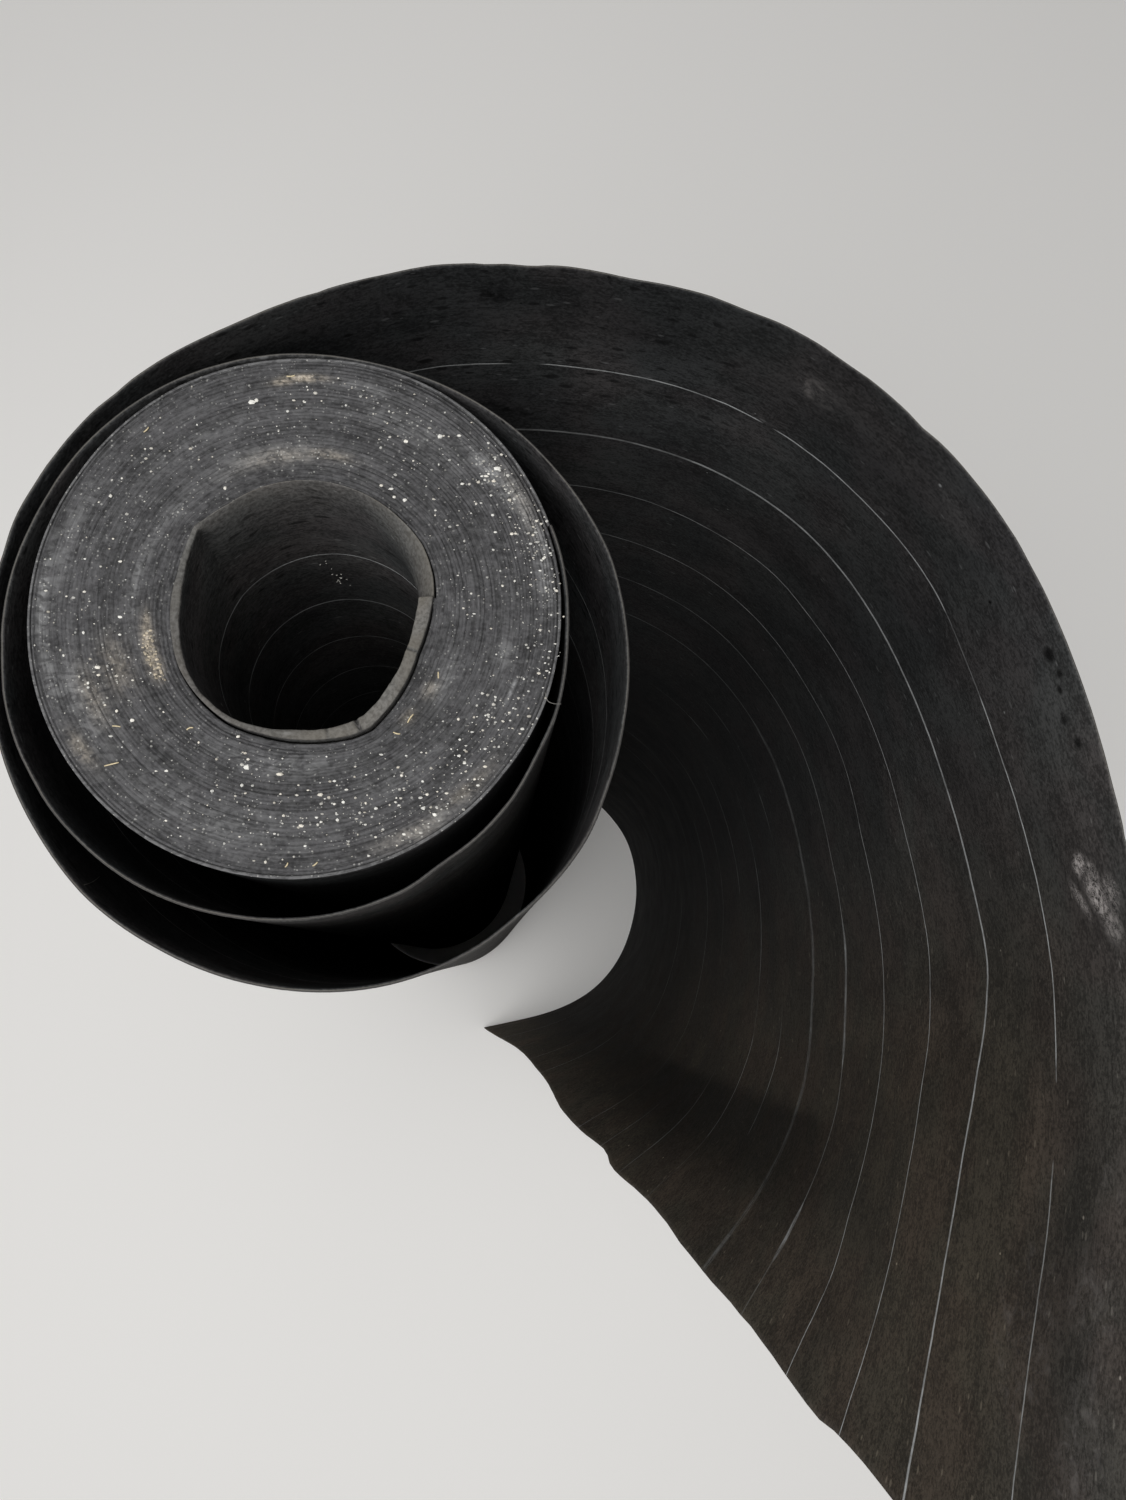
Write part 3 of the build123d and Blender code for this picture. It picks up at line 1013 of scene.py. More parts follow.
def felt_turns_material():
    """Wound end of the roll: the edges of the turns, with dust in bands and drifts."""
    found = bpy.data.materials.get("felt_turns")
    if found:
        return found
    finish = settings("felt_finish")
    material, tree, shader = new_material("felt_turns")
    spot = add(tree, "ShaderNodeTexCoord").outputs["Object"]
    split = add(tree, "ShaderNodeSeparateXYZ", {0: spot}).outputs
    flat = combined(tree, split[0], split[1])
    radius = vector_maths(tree, "LENGTH", flat)
    around = vector_maths(tree, "NORMALIZE", flat)

    def ring_noise(around_scale, across_scale, detail, roughness):
        """Noise stretched along the turns, without a join."""
        ring = vector_maths(tree, "MULTIPLY", around, (around_scale, around_scale, 0.0))
        across = combined(tree, 0.0, 0.0, maths(tree, "MULTIPLY", radius, across_scale))
        return noise_value(
            tree, vector_maths(tree, "ADD", ring, across), 1.0, detail, roughness, 0.2
        )

    seam_painted_shade = attribute_value(tree, "seam_painted_shade")
    fine_rings = ring_noise(7.5, 1500.0, 3.0, 0.7)
    rings = ring_noise(3.2, 700.0, 3.0, 0.65)
    bands = ring_noise(1.7, 300.0, 2.0, 0.6)
    fibre = placed(
        tree, fibre_effect(), {"Place": spot, "Thread Length": 0.0016, "Thread Width": 0.0011}
    )
    smear = noise_value(tree, spot, 95.0, 4.0, 0.65, 0.4)

    grain = ramp_between(tree, fibre["Grain"], 0.3, 0.7)
    shade = maths(tree, "MULTIPLY", grain, 0.28)
    for part, low, high, weight in (
        (fine_rings, 0.33, 0.67, 0.2),
        (rings, 0.33, 0.67, 0.22),
        (bands, 0.35, 0.65, 0.14),
        (smear, 0.32, 0.68, 0.16),
    ):
        share = ramp_between(tree, part, low, high)
        shade = maths(tree, "ADD", shade, maths(tree, "MULTIPLY", share, weight))
    base = mixed(
        tree,
        ramp_between(tree, shade, 0.2, 0.82),
        colour(finish.turns, 0.34),
        colour(finish.turns, 1.42),
    )
    light_streaks = ramp_between(tree, fine_rings, 0.56, 0.76)
    light_streaks = maths(tree, "MULTIPLY", light_streaks, ramp_between(tree, bands, 0.4, 0.62))
    light_streaks = maths(tree, "MULTIPLY", light_streaks, 0.6)
    base = mixed(tree, light_streaks, base, colour(finish.turns, 2.3))
    dark_streaks = maths(tree, "MULTIPLY", ramp_between(tree, rings, 0.4, 0.27), 0.6)
    base = mixed(tree, dark_streaks, base, colour(finish.turns, 0.34))

    # Powder caught in the grain, thin everywhere and thick in its patches
    loose = ramp_between(tree, fibre["Wisp"], 0.36, 0.66)
    pale = attribute_value(tree, "powder")
    spread = maths(tree, "ADD", maths(tree, "MULTIPLY", pale, 0.85), 0.1)
    powder = maths(tree, "ADD", maths(tree, "MULTIPLY", loose, 0.75), 0.25)
    powder = maths(tree, "MULTIPLY", powder, spread)
    base = mixed(tree, powder, base, (0.34, 0.34, 0.34, 1.0))
    tan = attribute_value(tree, "dust")
    clumps = ramp_between(tree, fibre["Wisp"], 0.3, 0.58, 0.12, 1.0)
    light_clumps = mixed(
        tree,
        ramp_between(tree, fibre["Grain"], 0.35, 0.66),
        colour(finish.dust, 0.55),
        colour(finish.dust, 1.35),
    )
    base = mixed(tree, maths(tree, "MULTIPLY", tan, clumps), base, light_clumps)

    for scale, share, size, strength in ((1050.0, 0.34, 0.36, 0.56), (620.0, 0.2, 0.24, 0.8)):
        specks = specks_at(tree, spot, scale, share, size)
        many = maths(tree, "ADD", maths(tree, "MULTIPLY", pale, 0.8), strength - 0.3)
        shown = maths(tree, "MULTIPLY", specks, many, clamp=True)
        base = mixed(tree, shown, base, colour(finish.grit, 0.62))

    # Painted shade in the seams between the turns, darker where a seam shows open.
    painted_seam_shade = ramp_between(tree, seam_painted_shade, 0.12, 0.95)
    base = mixed(tree, maths(tree, "MULTIPLY", painted_seam_shade, 0.75), base, colour(finish.turns, 0.14))
    feed(tree, shader.inputs["Base Color"], base)

    rough = ramp_between(tree, fibre["Mottle"], 0.25, 0.75, 0.62, 0.86)
    feed(tree, shader.inputs["Roughness"], rough)
    shader.inputs["Specular IOR Level"].default_value = 0.25
    height = maths(tree, "ADD", fine_rings, maths(tree, "MULTIPLY", fibre["Wisp"], 0.8))
    height = maths(tree, "ADD", height, maths(tree, "MULTIPLY", fibre["Grain"], 0.6))
    feed(tree, shader.inputs["Normal"], bumped(tree, height, 0.6, 0.0004))
    return material


def loose_bit_material(name, tint, rough):
    """Grit, straw or a loose fibre, each a little uneven in colour."""
    found = bpy.data.materials.get(name)
    if found:
        return found
    material, tree, shader = new_material(name)
    spot = add(tree, "ShaderNodeTexCoord").outputs["Object"]
    fibre = placed(
        tree, fibre_effect(), {"Place": spot, "Thread Length": 0.001, "Thread Width": 0.0004}
    )
    shade = ramp_between(tree, fibre["Thread"], 0.3, 0.7)
    base = mixed(tree, shade, colour(tint, 0.78), colour(tint, 1.08))
    warmth_and_painted_reflection = mixed(tree, attribute_value(tree, "warm_and_painted_reflection"), (1, 1, 1, 1), (1.0, 0.83, 0.6, 1))
    base = mixed(tree, 1.0, base, warmth_and_painted_reflection, "MULTIPLY")
    base = vector_maths(tree, "SCALE", base)
    feed(tree, base.node.inputs["Scale"], attribute_value(tree, "tone_and_painted_light"))
    feed(tree, shader.inputs["Base Color"], base)
    feed(tree, shader.inputs["Roughness"], ramp_between(tree, shade, 0.0, 1.0, rough, rough + 0.15))
    feed(tree, shader.inputs["Normal"], bumped(tree, fibre["Wisp"], 0.4, 0.0002))
    return material


# Wound part


def rim_at(degrees):
    """Outer and inner radius, gap and flatness of the bore's rim, by angle."""
    table = np.array(sorted(RIM), float)
    wrapped = (np.asarray(degrees, float) - INNER_END_ANGLE) % -360.0 + INNER_END_ANGLE
    return [np.interp(wrapped, table[:, 0], table[:, column]) for column in (1, 2, 3, 4)]


def wound_shift(radius, degrees, height):
    """How far the mouth and the outline of the roll's ends push a turn off its true circle."""
    wound, sheet = settings("felt_wound"), settings("felt_sheet")
    outer, _, gap, _ = rim_at(degrees)
    past_end = ((INNER_END_ANGLE - degrees) / 360.0) % 1.0
    true_radius = wound.bore_radius + spiral_pitch() * (1 + past_end)
    mouth = (outer + gap) * MM - true_radius
    angles, stand_off = np.array(sorted(OUTLINE), float).T
    wrapped = (np.asarray(degrees, float) - LOOSE_START_ANGLE) % -360.0 + LOOSE_START_ANGLE
    outline = np.interp(wrapped, angles, stand_off) * MM
    span = wound.outer_radius - wound.bore_radius
    place = (radius - wound.bore_radius) / span
    inner_share = 1 - smooth_step(place, 0.03, 0.5)
    outer_share = smooth_step(place, 0.45, 1.0)
    below = np.minimum(sheet.width - height, height)
    mouth_depth = np.exp(-((below / MOUTH_DEPTH) ** 2))
    outline_depth = np.exp(-((below / 0.25) ** 2))
    return mouth * inner_share * mouth_depth + outline * outer_share * outline_depth


def crown_height(winding):
    """How far the edge of the sheet stands below the roll's end, at a count of turns."""
    wound = settings("felt_wound")
    wave = noise_at(winding * 1.7, np.full_like(winding, 5.2))
    short = noise_at(winding * 11.0, np.full_like(winding, 9.1))
    height = wound.step * (wave * 1.5 + short * 0.45) - 0.25 * MM
    inner = 1 - smooth_step(winding, 2.2, 4.2)
    height = height - inner * 1.1 * MM
    outer = smooth_step(winding, wound.turns - 3.2, wound.turns - 2.4)
    height = height + outer * wound.step * 2.2 * noise_at(winding * 2.9, np.full_like(winding, 1.4))
    return height


def spiral_pitch():
    """Distance from one wound turn to the next."""
    wound, sheet = settings("felt_wound"), settings("felt_sheet")
    turns = last_winding()
    return (wound.outer_radius - sheet.thickness - wound.bore_radius) / turns


# Across one turn: place from seam to seam, and share of the bevel that is taken off there.
TOP_PROFILE = [(0.0, 1.0), (0.16, 0.22), (0.52, 0.0), (0.88, 0.22)]
BOTTOM_PROFILE = [(0.0, 1.0), (0.5, 0.0)]


def spiral_point(turn_count, degrees, height):
    """Point of the wound part at a count of turns, an angle and a height."""
    wound = settings("felt_wound")
    radius = wound.bore_radius + spiral_pitch() * turn_count
    radius = radius + wound_shift(radius, degrees, height)
    around = np.cos(np.radians(degrees)), np.sin(np.radians(degrees))
    radius = radius + 0.1 * MM * noise_at(around[0] * 2.2, around[1] * 2.2, turn_count * 0.5)
    return np.stack([radius * around[0], radius * around[1], height + 0 * radius], -1)


def last_winding():
    """Turns from the innermost edge to where the loose sheet leaves the wound part."""
    return settings("felt_wound").turns - (LOOSE_START_ANGLE - INNER_END_ANGLE) / 360


def seam_looks(winding, degrees):
    """How open each seam shows, from 0 to 1, which sets its depth and its painted shade, and how far the
    turns stand apart there.
    """
    around = np.cos(np.radians(degrees)), np.sin(np.radians(degrees))
    patch = noise_at(around[0] * 2.6, around[1] * 2.6, winding * 0.83)
    fine = noise_at(around[0] * 9.0, around[1] * 9.0, winding * 1.37)
    shown = np.clip(0.3 + 1.0 * patch + 0.55 * fine, 0.02, 1)
    last = last_winding()
    turns_back, strength = np.array(OUTER_GAPS).T
    apart = np.interp(last - winding, turns_back, strength)
    inner = 1 - smooth_step(winding, 1.0, 3.6)
    shown = np.maximum(shown, inner * 0.75)
    return np.maximum(shown, smooth_step(apart, 0.1, 0.5)), apart


def build_wound_part():
    """Turns 2 to 36 as one spiral body, with their edges on both ends."""
    wound, sheet = settings("felt_wound"), settings("felt_sheet")
    per_turn = 360
    last = last_winding()
    columns = int(round((last - 1) * per_turn)) + 1
    winding = 1 + np.arange(columns) / per_turn
    degrees = INNER_END_ANGLE - winding * 360.0
    shown, apart = seam_looks(winding, degrees)
    apart_beyond = seam_looks(winding + 1, degrees)[1]
    run = 2 * math.pi * np.cumsum(wound.bore_radius + spiral_pitch() * winding) / per_turn

    parts = {"place": [], "seam_painted_shade": [], "winding": [], "run": []}
    faces, kinds = [], []

    def take(points, seams, windings, runs):
        start = sum(len(block) for block in parts["place"])
        parts["place"].append(points.reshape(-1, 3))
        parts["seam_painted_shade"].append(np.ravel(seams))
        parts["winding"].append(np.ravel(windings))
        parts["run"].append(np.ravel(runs))
        return start

    def end_rings(profile, at_top):
        """Vertices of one end, the same number to each column of the spiral."""
        sign = 1 if at_top else -1
        level = sheet.width if at_top else 0.0
        offset = 0 if at_top else 50
        crown = crown_height(winding + offset)
        earlier = crown_height(winding + offset - 1)
        depth = wound.seam_depth * (0.35 + 1.5 * shown) + 2.2 * MM * apart
        points, seams = [], []
        for share, bevel in profile:
            if share == 0:
                # The turn inside shares this seam, so the lower of the two edges rules it.
                drop = np.maximum(-crown, -earlier) + depth
                share_here = share
                # How much painted shade the seam gets.
                seams.append(shown)
            else:
                drop = -crown + bevel * 0.55 * MM * (0.25 + shown * (share < 0.5))
                own, beyond = (apart, 0) if share < 0.5 else (0, apart_beyond)
                share_here = share + 0.2 * own - 0.2 * beyond if len(profile) > 2 else share
                side = apart if share < 0.5 else apart_beyond
                # Painted shade on the bevel beside turns that stand apart.
                seams.append(0.35 * side * (bevel > 0))
            height = level - sign * drop
            points.append(spiral_point(winding + share_here, degrees, height))
        ids = take(
            np.stack(points, 1),
            np.stack(seams, 1),
            np.repeat(winding[:, None], len(profile), 1),
            np.repeat(run[:, None], len(profile), 1),
        )
        return ids, len(profile)

    def keep(made, flip, kind):
        faces.append(made[:, ::-1] if flip else made)
        kinds.append(np.full(len(made), kind))

    def cover_end(start, width, flip):
        """Quads over one end of the spiral."""
        column = np.arange(columns - 1)
        for row in range(width - 1):
            a = start + column * width + row
            b = start + (column + 1) * width + row
            keep(np.stack([a, b, b + 1, a + 1], 1), flip, 0)
        inner = np.arange(columns - 1 - per_turn)
        a = start + inner * width + width - 1
        b = start + (inner + 1) * width + width - 1
        c = start + (inner + 1 + per_turn) * width
        d = start + (inner + per_turn) * width
        keep(np.stack([a, b, c, d], 1), flip, 0)

    rim_columns = np.arange(columns - per_turn - 1, columns)

    def cover_rim(start, width, at_top):
        """Outer rim of the last turn, with the band up to it."""
        level, sign, offset = (sheet.width, 1, 0) if at_top else (0.0, -1, 50)
        drop = -crown_height(winding[rim_columns] + offset) + 0.15 * MM
        points = spiral_point(winding[rim_columns] + 1, degrees[rim_columns], level - sign * drop)
        rim = take(points, np.zeros(len(rim_columns)), winding[rim_columns], run[rim_columns])
        index = np.arange(len(rim_columns) - 1)
        a = start + rim_columns[:-1] * width + width - 1
        b = start + rim_columns[1:] * width + width - 1
        keep(np.stack([a, b, rim + index + 1, rim + index], 1), at_top, 0)
        return rim + np.arange(len(rim_columns))

    top, top_width = end_rings(TOP_PROFILE, True)
    bottom, bottom_width = end_rings(BOTTOM_PROFILE, False)
    cover_end(top, top_width, True)
    cover_end(bottom, bottom_width, False)
    top_rim = cover_rim(top, top_width, True)
    bottom_rim = cover_rim(bottom, bottom_width, False)

    def wall(top_ids, bottom_ids, turn_count, at, flip):
        """Wall between the two ends, with rows of its own."""
        rows = [np.asarray(top_ids)]
        for share in (0.995, 0.985, 0.97, 0.945, 0.9, 0.8, 0.6, 0.4, 0.2, 0.05):
            height = np.full(len(top_ids), share * sheet.width)
            start = take(
                spiral_point(turn_count, degrees[at], height), 0 * height, turn_count, run[at]
            )
            rows.append(start + np.arange(len(top_ids)))
        rows.append(np.asarray(bottom_ids))
        for upper, lower in zip(rows[:-1], rows[1:]):
            made = np.stack([upper[:-1], upper[1:], lower[1:], lower[:-1]], 1)
            keep(made, flip, 1)
        return rows

    first = np.arange(per_turn + 1)
    inner_rows = wall(
        top + first * top_width, bottom + first * bottom_width, winding[first], first, False
    )
    outer_rows = wall(top_rim, bottom_rim, winding[rim_columns] + 1, rim_columns, True)

    # Where the spiral starts and stops, its wall steps by one turn
    polygons = []

    def step(rows, top_ids, bottom_ids, flip):
        for upper, lower in zip(rows[:-1], rows[1:]):
            quad = [upper[0], upper[-1], lower[-1], lower[0]]
            polygons.append(quad[::-1] if flip else quad)
        polygons.append(top_ids[::-1] if flip else top_ids)
        polygons.append(bottom_ids if flip else bottom_ids[::-1])

    inner_ends = [
        [start + row for row in range(width)] + [start + per_turn * width]
        for start, width in ((top, top_width), (bottom, bottom_width))
    ]
    step(inner_rows, *inner_ends, True)
    outer_ends = [
        [start + (columns - 1) * width + row for row in range(width)] + [rim[-1]]
        for start, width, rim in ((top, top_width, top_rim), (bottom, bottom_width, bottom_rim))
    ]
    step(outer_rows, *outer_ends, False)

    place = np.concatenate(parts["place"])
    radius = np.hypot(place[:, 0], place[:, 1])
    degrees = np.degrees(np.arctan2(place[:, 1], place[:, 0]))
    on_top = place[:, 2] > 0.9 * sheet.width
    return make_piece(
        "wound_turns",
        place,
        [face for block in faces for face in block] + polygons,
        [felt_turns_material(), felt_face_material()],
        np.stack([np.concatenate(parts["run"]), place[:, 2]], 1),
        {
            "seam_painted_shade": np.concatenate(parts["seam_painted_shade"]),
            "line_strength": np.zeros(len(place)),
            "line_half_width": np.full(len(place), 0.3),
            "line_height": place[:, 2],
            "edge": np.zeros(len(place)),
            "tone_and_painted_light": np.ones(len(place)),
            "warm_and_painted_reflection": np.zeros(len(place)),
            "dust": on_top * dust_cover(TAN_DUST, degrees, radius),
            "powder": on_top
            * np.maximum(
                dust_cover(PALE_POWDER, degrees, radius),
                0.3 * smooth_step(np.concatenate(parts["winding"]), last - 0.99, last - 0.95),
            ),
        },
        np.r_[np.concatenate(kinds), np.ones(len(polygons), int)],
    )


# Rim of the bore, flat lip and soft funnel: share of the way from the outer to the inner radius,
# depth below the end in millimetres, and how pale it is: the rim's own paler colour, and on the soft
# funnel also painted light that fades down the wall.
FLAT_LIP = [
    (0.0, 1.3, 0.15), (0.015, 0.35, 0.55), (0.07, 0.05, 0.8), (0.35, 0.0, 0.85), (0.65, 0.05, 0.8),
    (0.92, 0.12, 0.85), (1.0, 0.45, 0.7), (1.02, 1.3, 0.2), (0.98, 2.2, 0.05), (0.85, 5.0, 0.0),
    (0.6, 12.0, 0.0), (0.3, 22.0, 0.0), (0.1, 34.0, 0.0), (0.0, 50.0, 0.0),
]
SOFT_FUNNEL = [
    (0.0, 0.9, 0.2), (0.01, 0.25, 0.6), (0.06, 0.0, 0.85), (0.14, 0.25, 0.6), (0.26, 0.9, 0.52),
    (0.42, 2.0, 0.5), (0.58, 3.4, 0.45), (0.74, 5.4, 0.34), (0.9, 8.5, 0.2), (1.0, 12.5, 0.1),
    (0.96, 19.0, 0.05), (0.7, 30.0, 0.0), (0.3, 44.0, 0.0), (0.0, 62.0, 0.0),
]
# The pale lines show a little lower inside the bore.
BORE_LINE_DROP = 4.5 * MM


def build_inner_turn():
    """The innermost turn, which is the wall of the bore, with its rim turned in and cracked."""
    wound, sheet = settings("felt_wound"), settings("felt_sheet")
    columns = 721
    winding = np.linspace(0, 0.9985, columns)
    degrees = INNER_END_ANGLE - winding * 360.0
    outer, inner, _, flat = rim_at(degrees)
    wall_radius = wound.bore_radius + spiral_pitch() * winding
    outer = outer * MM
    wobble = noise_at(degrees * 0.09, np.full(columns, 2.2)) * 0.28 * MM
    inner = inner * MM + wobble + 0.12 * MM * noise_at(degrees * 0.5, np.full(columns, 7.7))
    lift = 0.7 * MM * flat + 0.2 * MM * noise_at(degrees * 0.05, np.full(columns, 4.4))
    lift = lift - 0.5 * MM * (1 - flat)
    crack = np.zeros(columns)
    for place, depth in RIM_CRACKS:
        crack = np.maximum(crack, depth * np.exp(-(((degrees - place) / 0.75) ** 2)))
    # The funnel is palest next to the sheet's inner end.
    near_end = 0.4 + 0.6 * smooth_step(-degrees, 285, 335)
    lip_share_pale = 1 - 0.35 * smooth_step(-degrees, 78, 100)

    def face_at(height):
        """Inner face of the turn, which follows the mouth as the wound turns round it do."""
        depth = np.minimum(sheet.width - height, height)
        near_mouth = np.exp(-((depth / MOUTH_DEPTH) ** 2))
        return wall_radius + (outer - 0.9 * sheet.thickness - wall_radius) * near_mouth

    rows, pale = [], []
    for (lip_share, lip_depth, lip_pale), (soft_share, soft_depth, funnel_pale_and_painted_light) in zip(
        FLAT_LIP, SOFT_FUNNEL
    ):
        share = lip_share * flat + soft_share * (1 - flat)
        depth = (lip_depth * flat + soft_depth * (1 - flat)) * MM
        dim = near_end if soft_share > 0.1 else 1.0
        # Paleness of the rim's own colour, with painted light fading down the soft funnel.
        paleness_and_painted_light = lip_pale * flat * lip_share_pale + funnel_pale_and_painted_light * dim * (1 - flat)
        base = outer + (face_at(sheet.width - depth) - outer) * smooth_step(
            depth, 2 * MM, 26 * MM
        )
        near_top = 1 - smooth_step(depth, 1 * MM, 12 * MM)
        radius = base + share * (inner - base)
        height = sheet.width - depth + lift * near_top
        cut = crack * near_top * smooth_step(share, -0.2, 0.9 + 0.3 * flat)
        height = height - cut * MM
        rows.append((radius, height))
        pale.append(paleness_and_painted_light * (1 - np.clip(crack, 0, 1) * 0.85))
    for height in np.linspace(sheet.width - 0.085, 0.004, 24):
        rows.append((face_at(height), np.full(columns, height)))
        pale.append(np.zeros(columns))
    for share in (0.2, 0.8):
        rows.append((face_at(0.0) + share * sheet.thickness, np.zeros(columns) + 0.0002))
        pale.append(np.ones(columns) * 0.5)
    for share in (0.004, 0.02, 0.05, 0.1, 0.5, 0.9, 0.95, 0.98):
        height = share * sheet.width
        rows.append((face_at(height) + 0.93 * sheet.thickness, np.full(columns, height)))
        pale.append(np.zeros(columns))
    around = np.cos(np.radians(degrees)), np.sin(np.radians(degrees))
    vertices = np.stack([np.stack([r * around[0], r * around[1], h], 1) for r, h in rows], 1)
    depth_rows = vertices.shape[1]
    run = np.repeat((winding * 2 * math.pi * wound.bore_radius)[:, None], depth_rows, 1).ravel()
    height = vertices[:, :, 2].ravel()
    steps = np.linalg.norm(np.diff(vertices[:, : len(SOFT_FUNNEL) + 1], axis=1), axis=2)
    over_lip = vertices[:, :, 2].copy()
    over_lip[:, : len(SOFT_FUNNEL)] = (
        over_lip[:, [len(SOFT_FUNNEL)]] + np.cumsum(steps[:, ::-1], axis=1)[:, ::-1]
    )
    faces = [list(face) for face in grid_faces(columns, depth_rows, wrap_rows=True)]
    faces.append(list(range(depth_rows)))
    faces.append([(columns - 1) * depth_rows + row for row in range(depth_rows)][::-1])
    strength, half_width, line_height = line_marks(run, height + BORE_LINE_DROP, np.ones(len(run)))
    return make_piece(
        "inner_turn",
        vertices.reshape(-1, 3),
        faces,
        [felt_face_material()],
        np.stack([run, over_lip.ravel()], 1),
        {
            "line_strength": np.clip(strength * 1.6, 0, 1),
            "line_half_width": np.minimum(half_width, 0.5),
            "line_height": line_height,
            "edge": np.stack(pale, 1).ravel(),
            # Painted light on the bore's wall, strongest deep down.
            "tone_and_painted_light": 6.0 - 3.3 * smooth_step(height, 0.55 * sheet.width, 0.92 * sheet.width),
            "warm_and_painted_reflection": np.full(len(run), 0.1),
        },
    )


# Loose sheet


def loose_sheet_centre():
    """Middle of the loose sheet as a grid of points, with its run, and the heights of its rows."""
    wound, sheet = settings("felt_wound"), settings("felt_sheet")
    upright = clamped_spline(
        station_points(LOOSE_TURNS, wound.outer_radius), 3000, LOOSE_START_SLOPE, LOOP_END_SLOPE
    )
    upright_lengths = arc_lengths(upright)
    upright_length = upright_lengths[-1]
    heading = (upright[-1] - upright[-2]) / np.linalg.norm(upright[-1] - upright[-2])
    ends = {}
    for level, stations in FREE_END.items():
        points = station_points(stations, wound.outer_radius)
        last_heading = (points[-1] - points[-2]) / np.linalg.norm(points[-1] - points[-2])
        ends[level] = clamped_spline(
            np.vstack([upright[-1], points]), 900, heading, last_heading
        )
    near_edge = np.array([0.0, 0.0004, 0.0015, 0.004, 0.009, 0.017])
    middle = np.linspace(0.017, 1 - 0.017, 74)[1:-1]
    levels = np.r_[near_edge, middle, 1 - near_edge[::-1]]
    upright_places = np.linspace(0, upright_length, 381)
    free_shares = np.linspace(0, 1, 106)[1:]
    smooth_cut = clamped_spline(np.array(CUT_WANDER) * (1, 0.01), 400) * (1, 100)
    centre = np.zeros((len(upright_places) + len(free_shares), len(levels), 3))
    run = np.zeros(centre.shape[:2])
    upright_points = along(upright, upright_lengths, upright_places)
    fray = noise_at(levels * 60, np.full_like(levels, 3.3)) * 0.5
    for row, level in enumerate(levels):
        course = (
            ends[0.0] * (2 * (level - 0.5) * (level - 1))
            + ends[0.5] * (-4 * level * (level - 1))
            + ends[1.0] * (2 * level * (level - 0.5))
        )
        lengths = arc_lengths(course)
        reach = lengths[-1] + (np.interp(level, smooth_cut[:, 0], smooth_cut[:, 1]) + fray[row]) * MM
        places = free_shares * reach
        points = np.vstack([upright_points, along(course, lengths, places)])
        centre[:, row, :2] = points
        centre[:, row, 2] = level * sheet.width
        run[:, row] = np.r_[upright_places, upright_length + places]
    return centre, run, levels


def sheet_normals(centre):
    """Directions square to the sheet, away from the axis side."""
    along_run = np.gradient(centre, axis=0)
    up = np.gradient(centre, axis=1)
    normal = np.cross(up, along_run)
    return normal / np.linalg.norm(normal, axis=2, keepdims=True)


def sheet_swell(run, height):
    """How far the sheet stands off its smooth course, outwards, in millimetres."""
    places = run[:, -1]

    def eased(table, half_window):
        fine = np.linspace(places[0], places[-1], SWELL_SAMPLES)
        spread = np.interp(fine, *np.array(table).T)
        window = np.hanning(2 * half_window + 1)
        spread = np.convolve(
            np.pad(spread, half_window, mode="edge"), window / window.sum(), mode="valid"
        )
        return np.interp(places, fine, spread)

    top = eased(TOP_SWELL, TOP_SMOOTHING)
    # Below the top edge the turns are smooth again, and only the last turn was measured lower down.
    levels = [0.0, *sorted(LOWER_SWELLS), 1.0]
    columns = []
    outer_turn = smooth_step(places, 1.06, 1.16)
    for level in levels[1:-1]:
        fade = math.exp(-(1 - level) / 0.16)
        lower = eased(LOWER_SWELLS[level], LOWER_SMOOTHING)
        columns.append(top * fade * (1 - outer_turn) + lower * outer_turn)
    columns = [columns[0] * 0, *columns, top]
    swell = np.zeros_like(run)
    for column in range(len(places)):
        known = [values[column] for values in columns]
        swell[column] = np.interp(height[column], levels, known)
    return swell


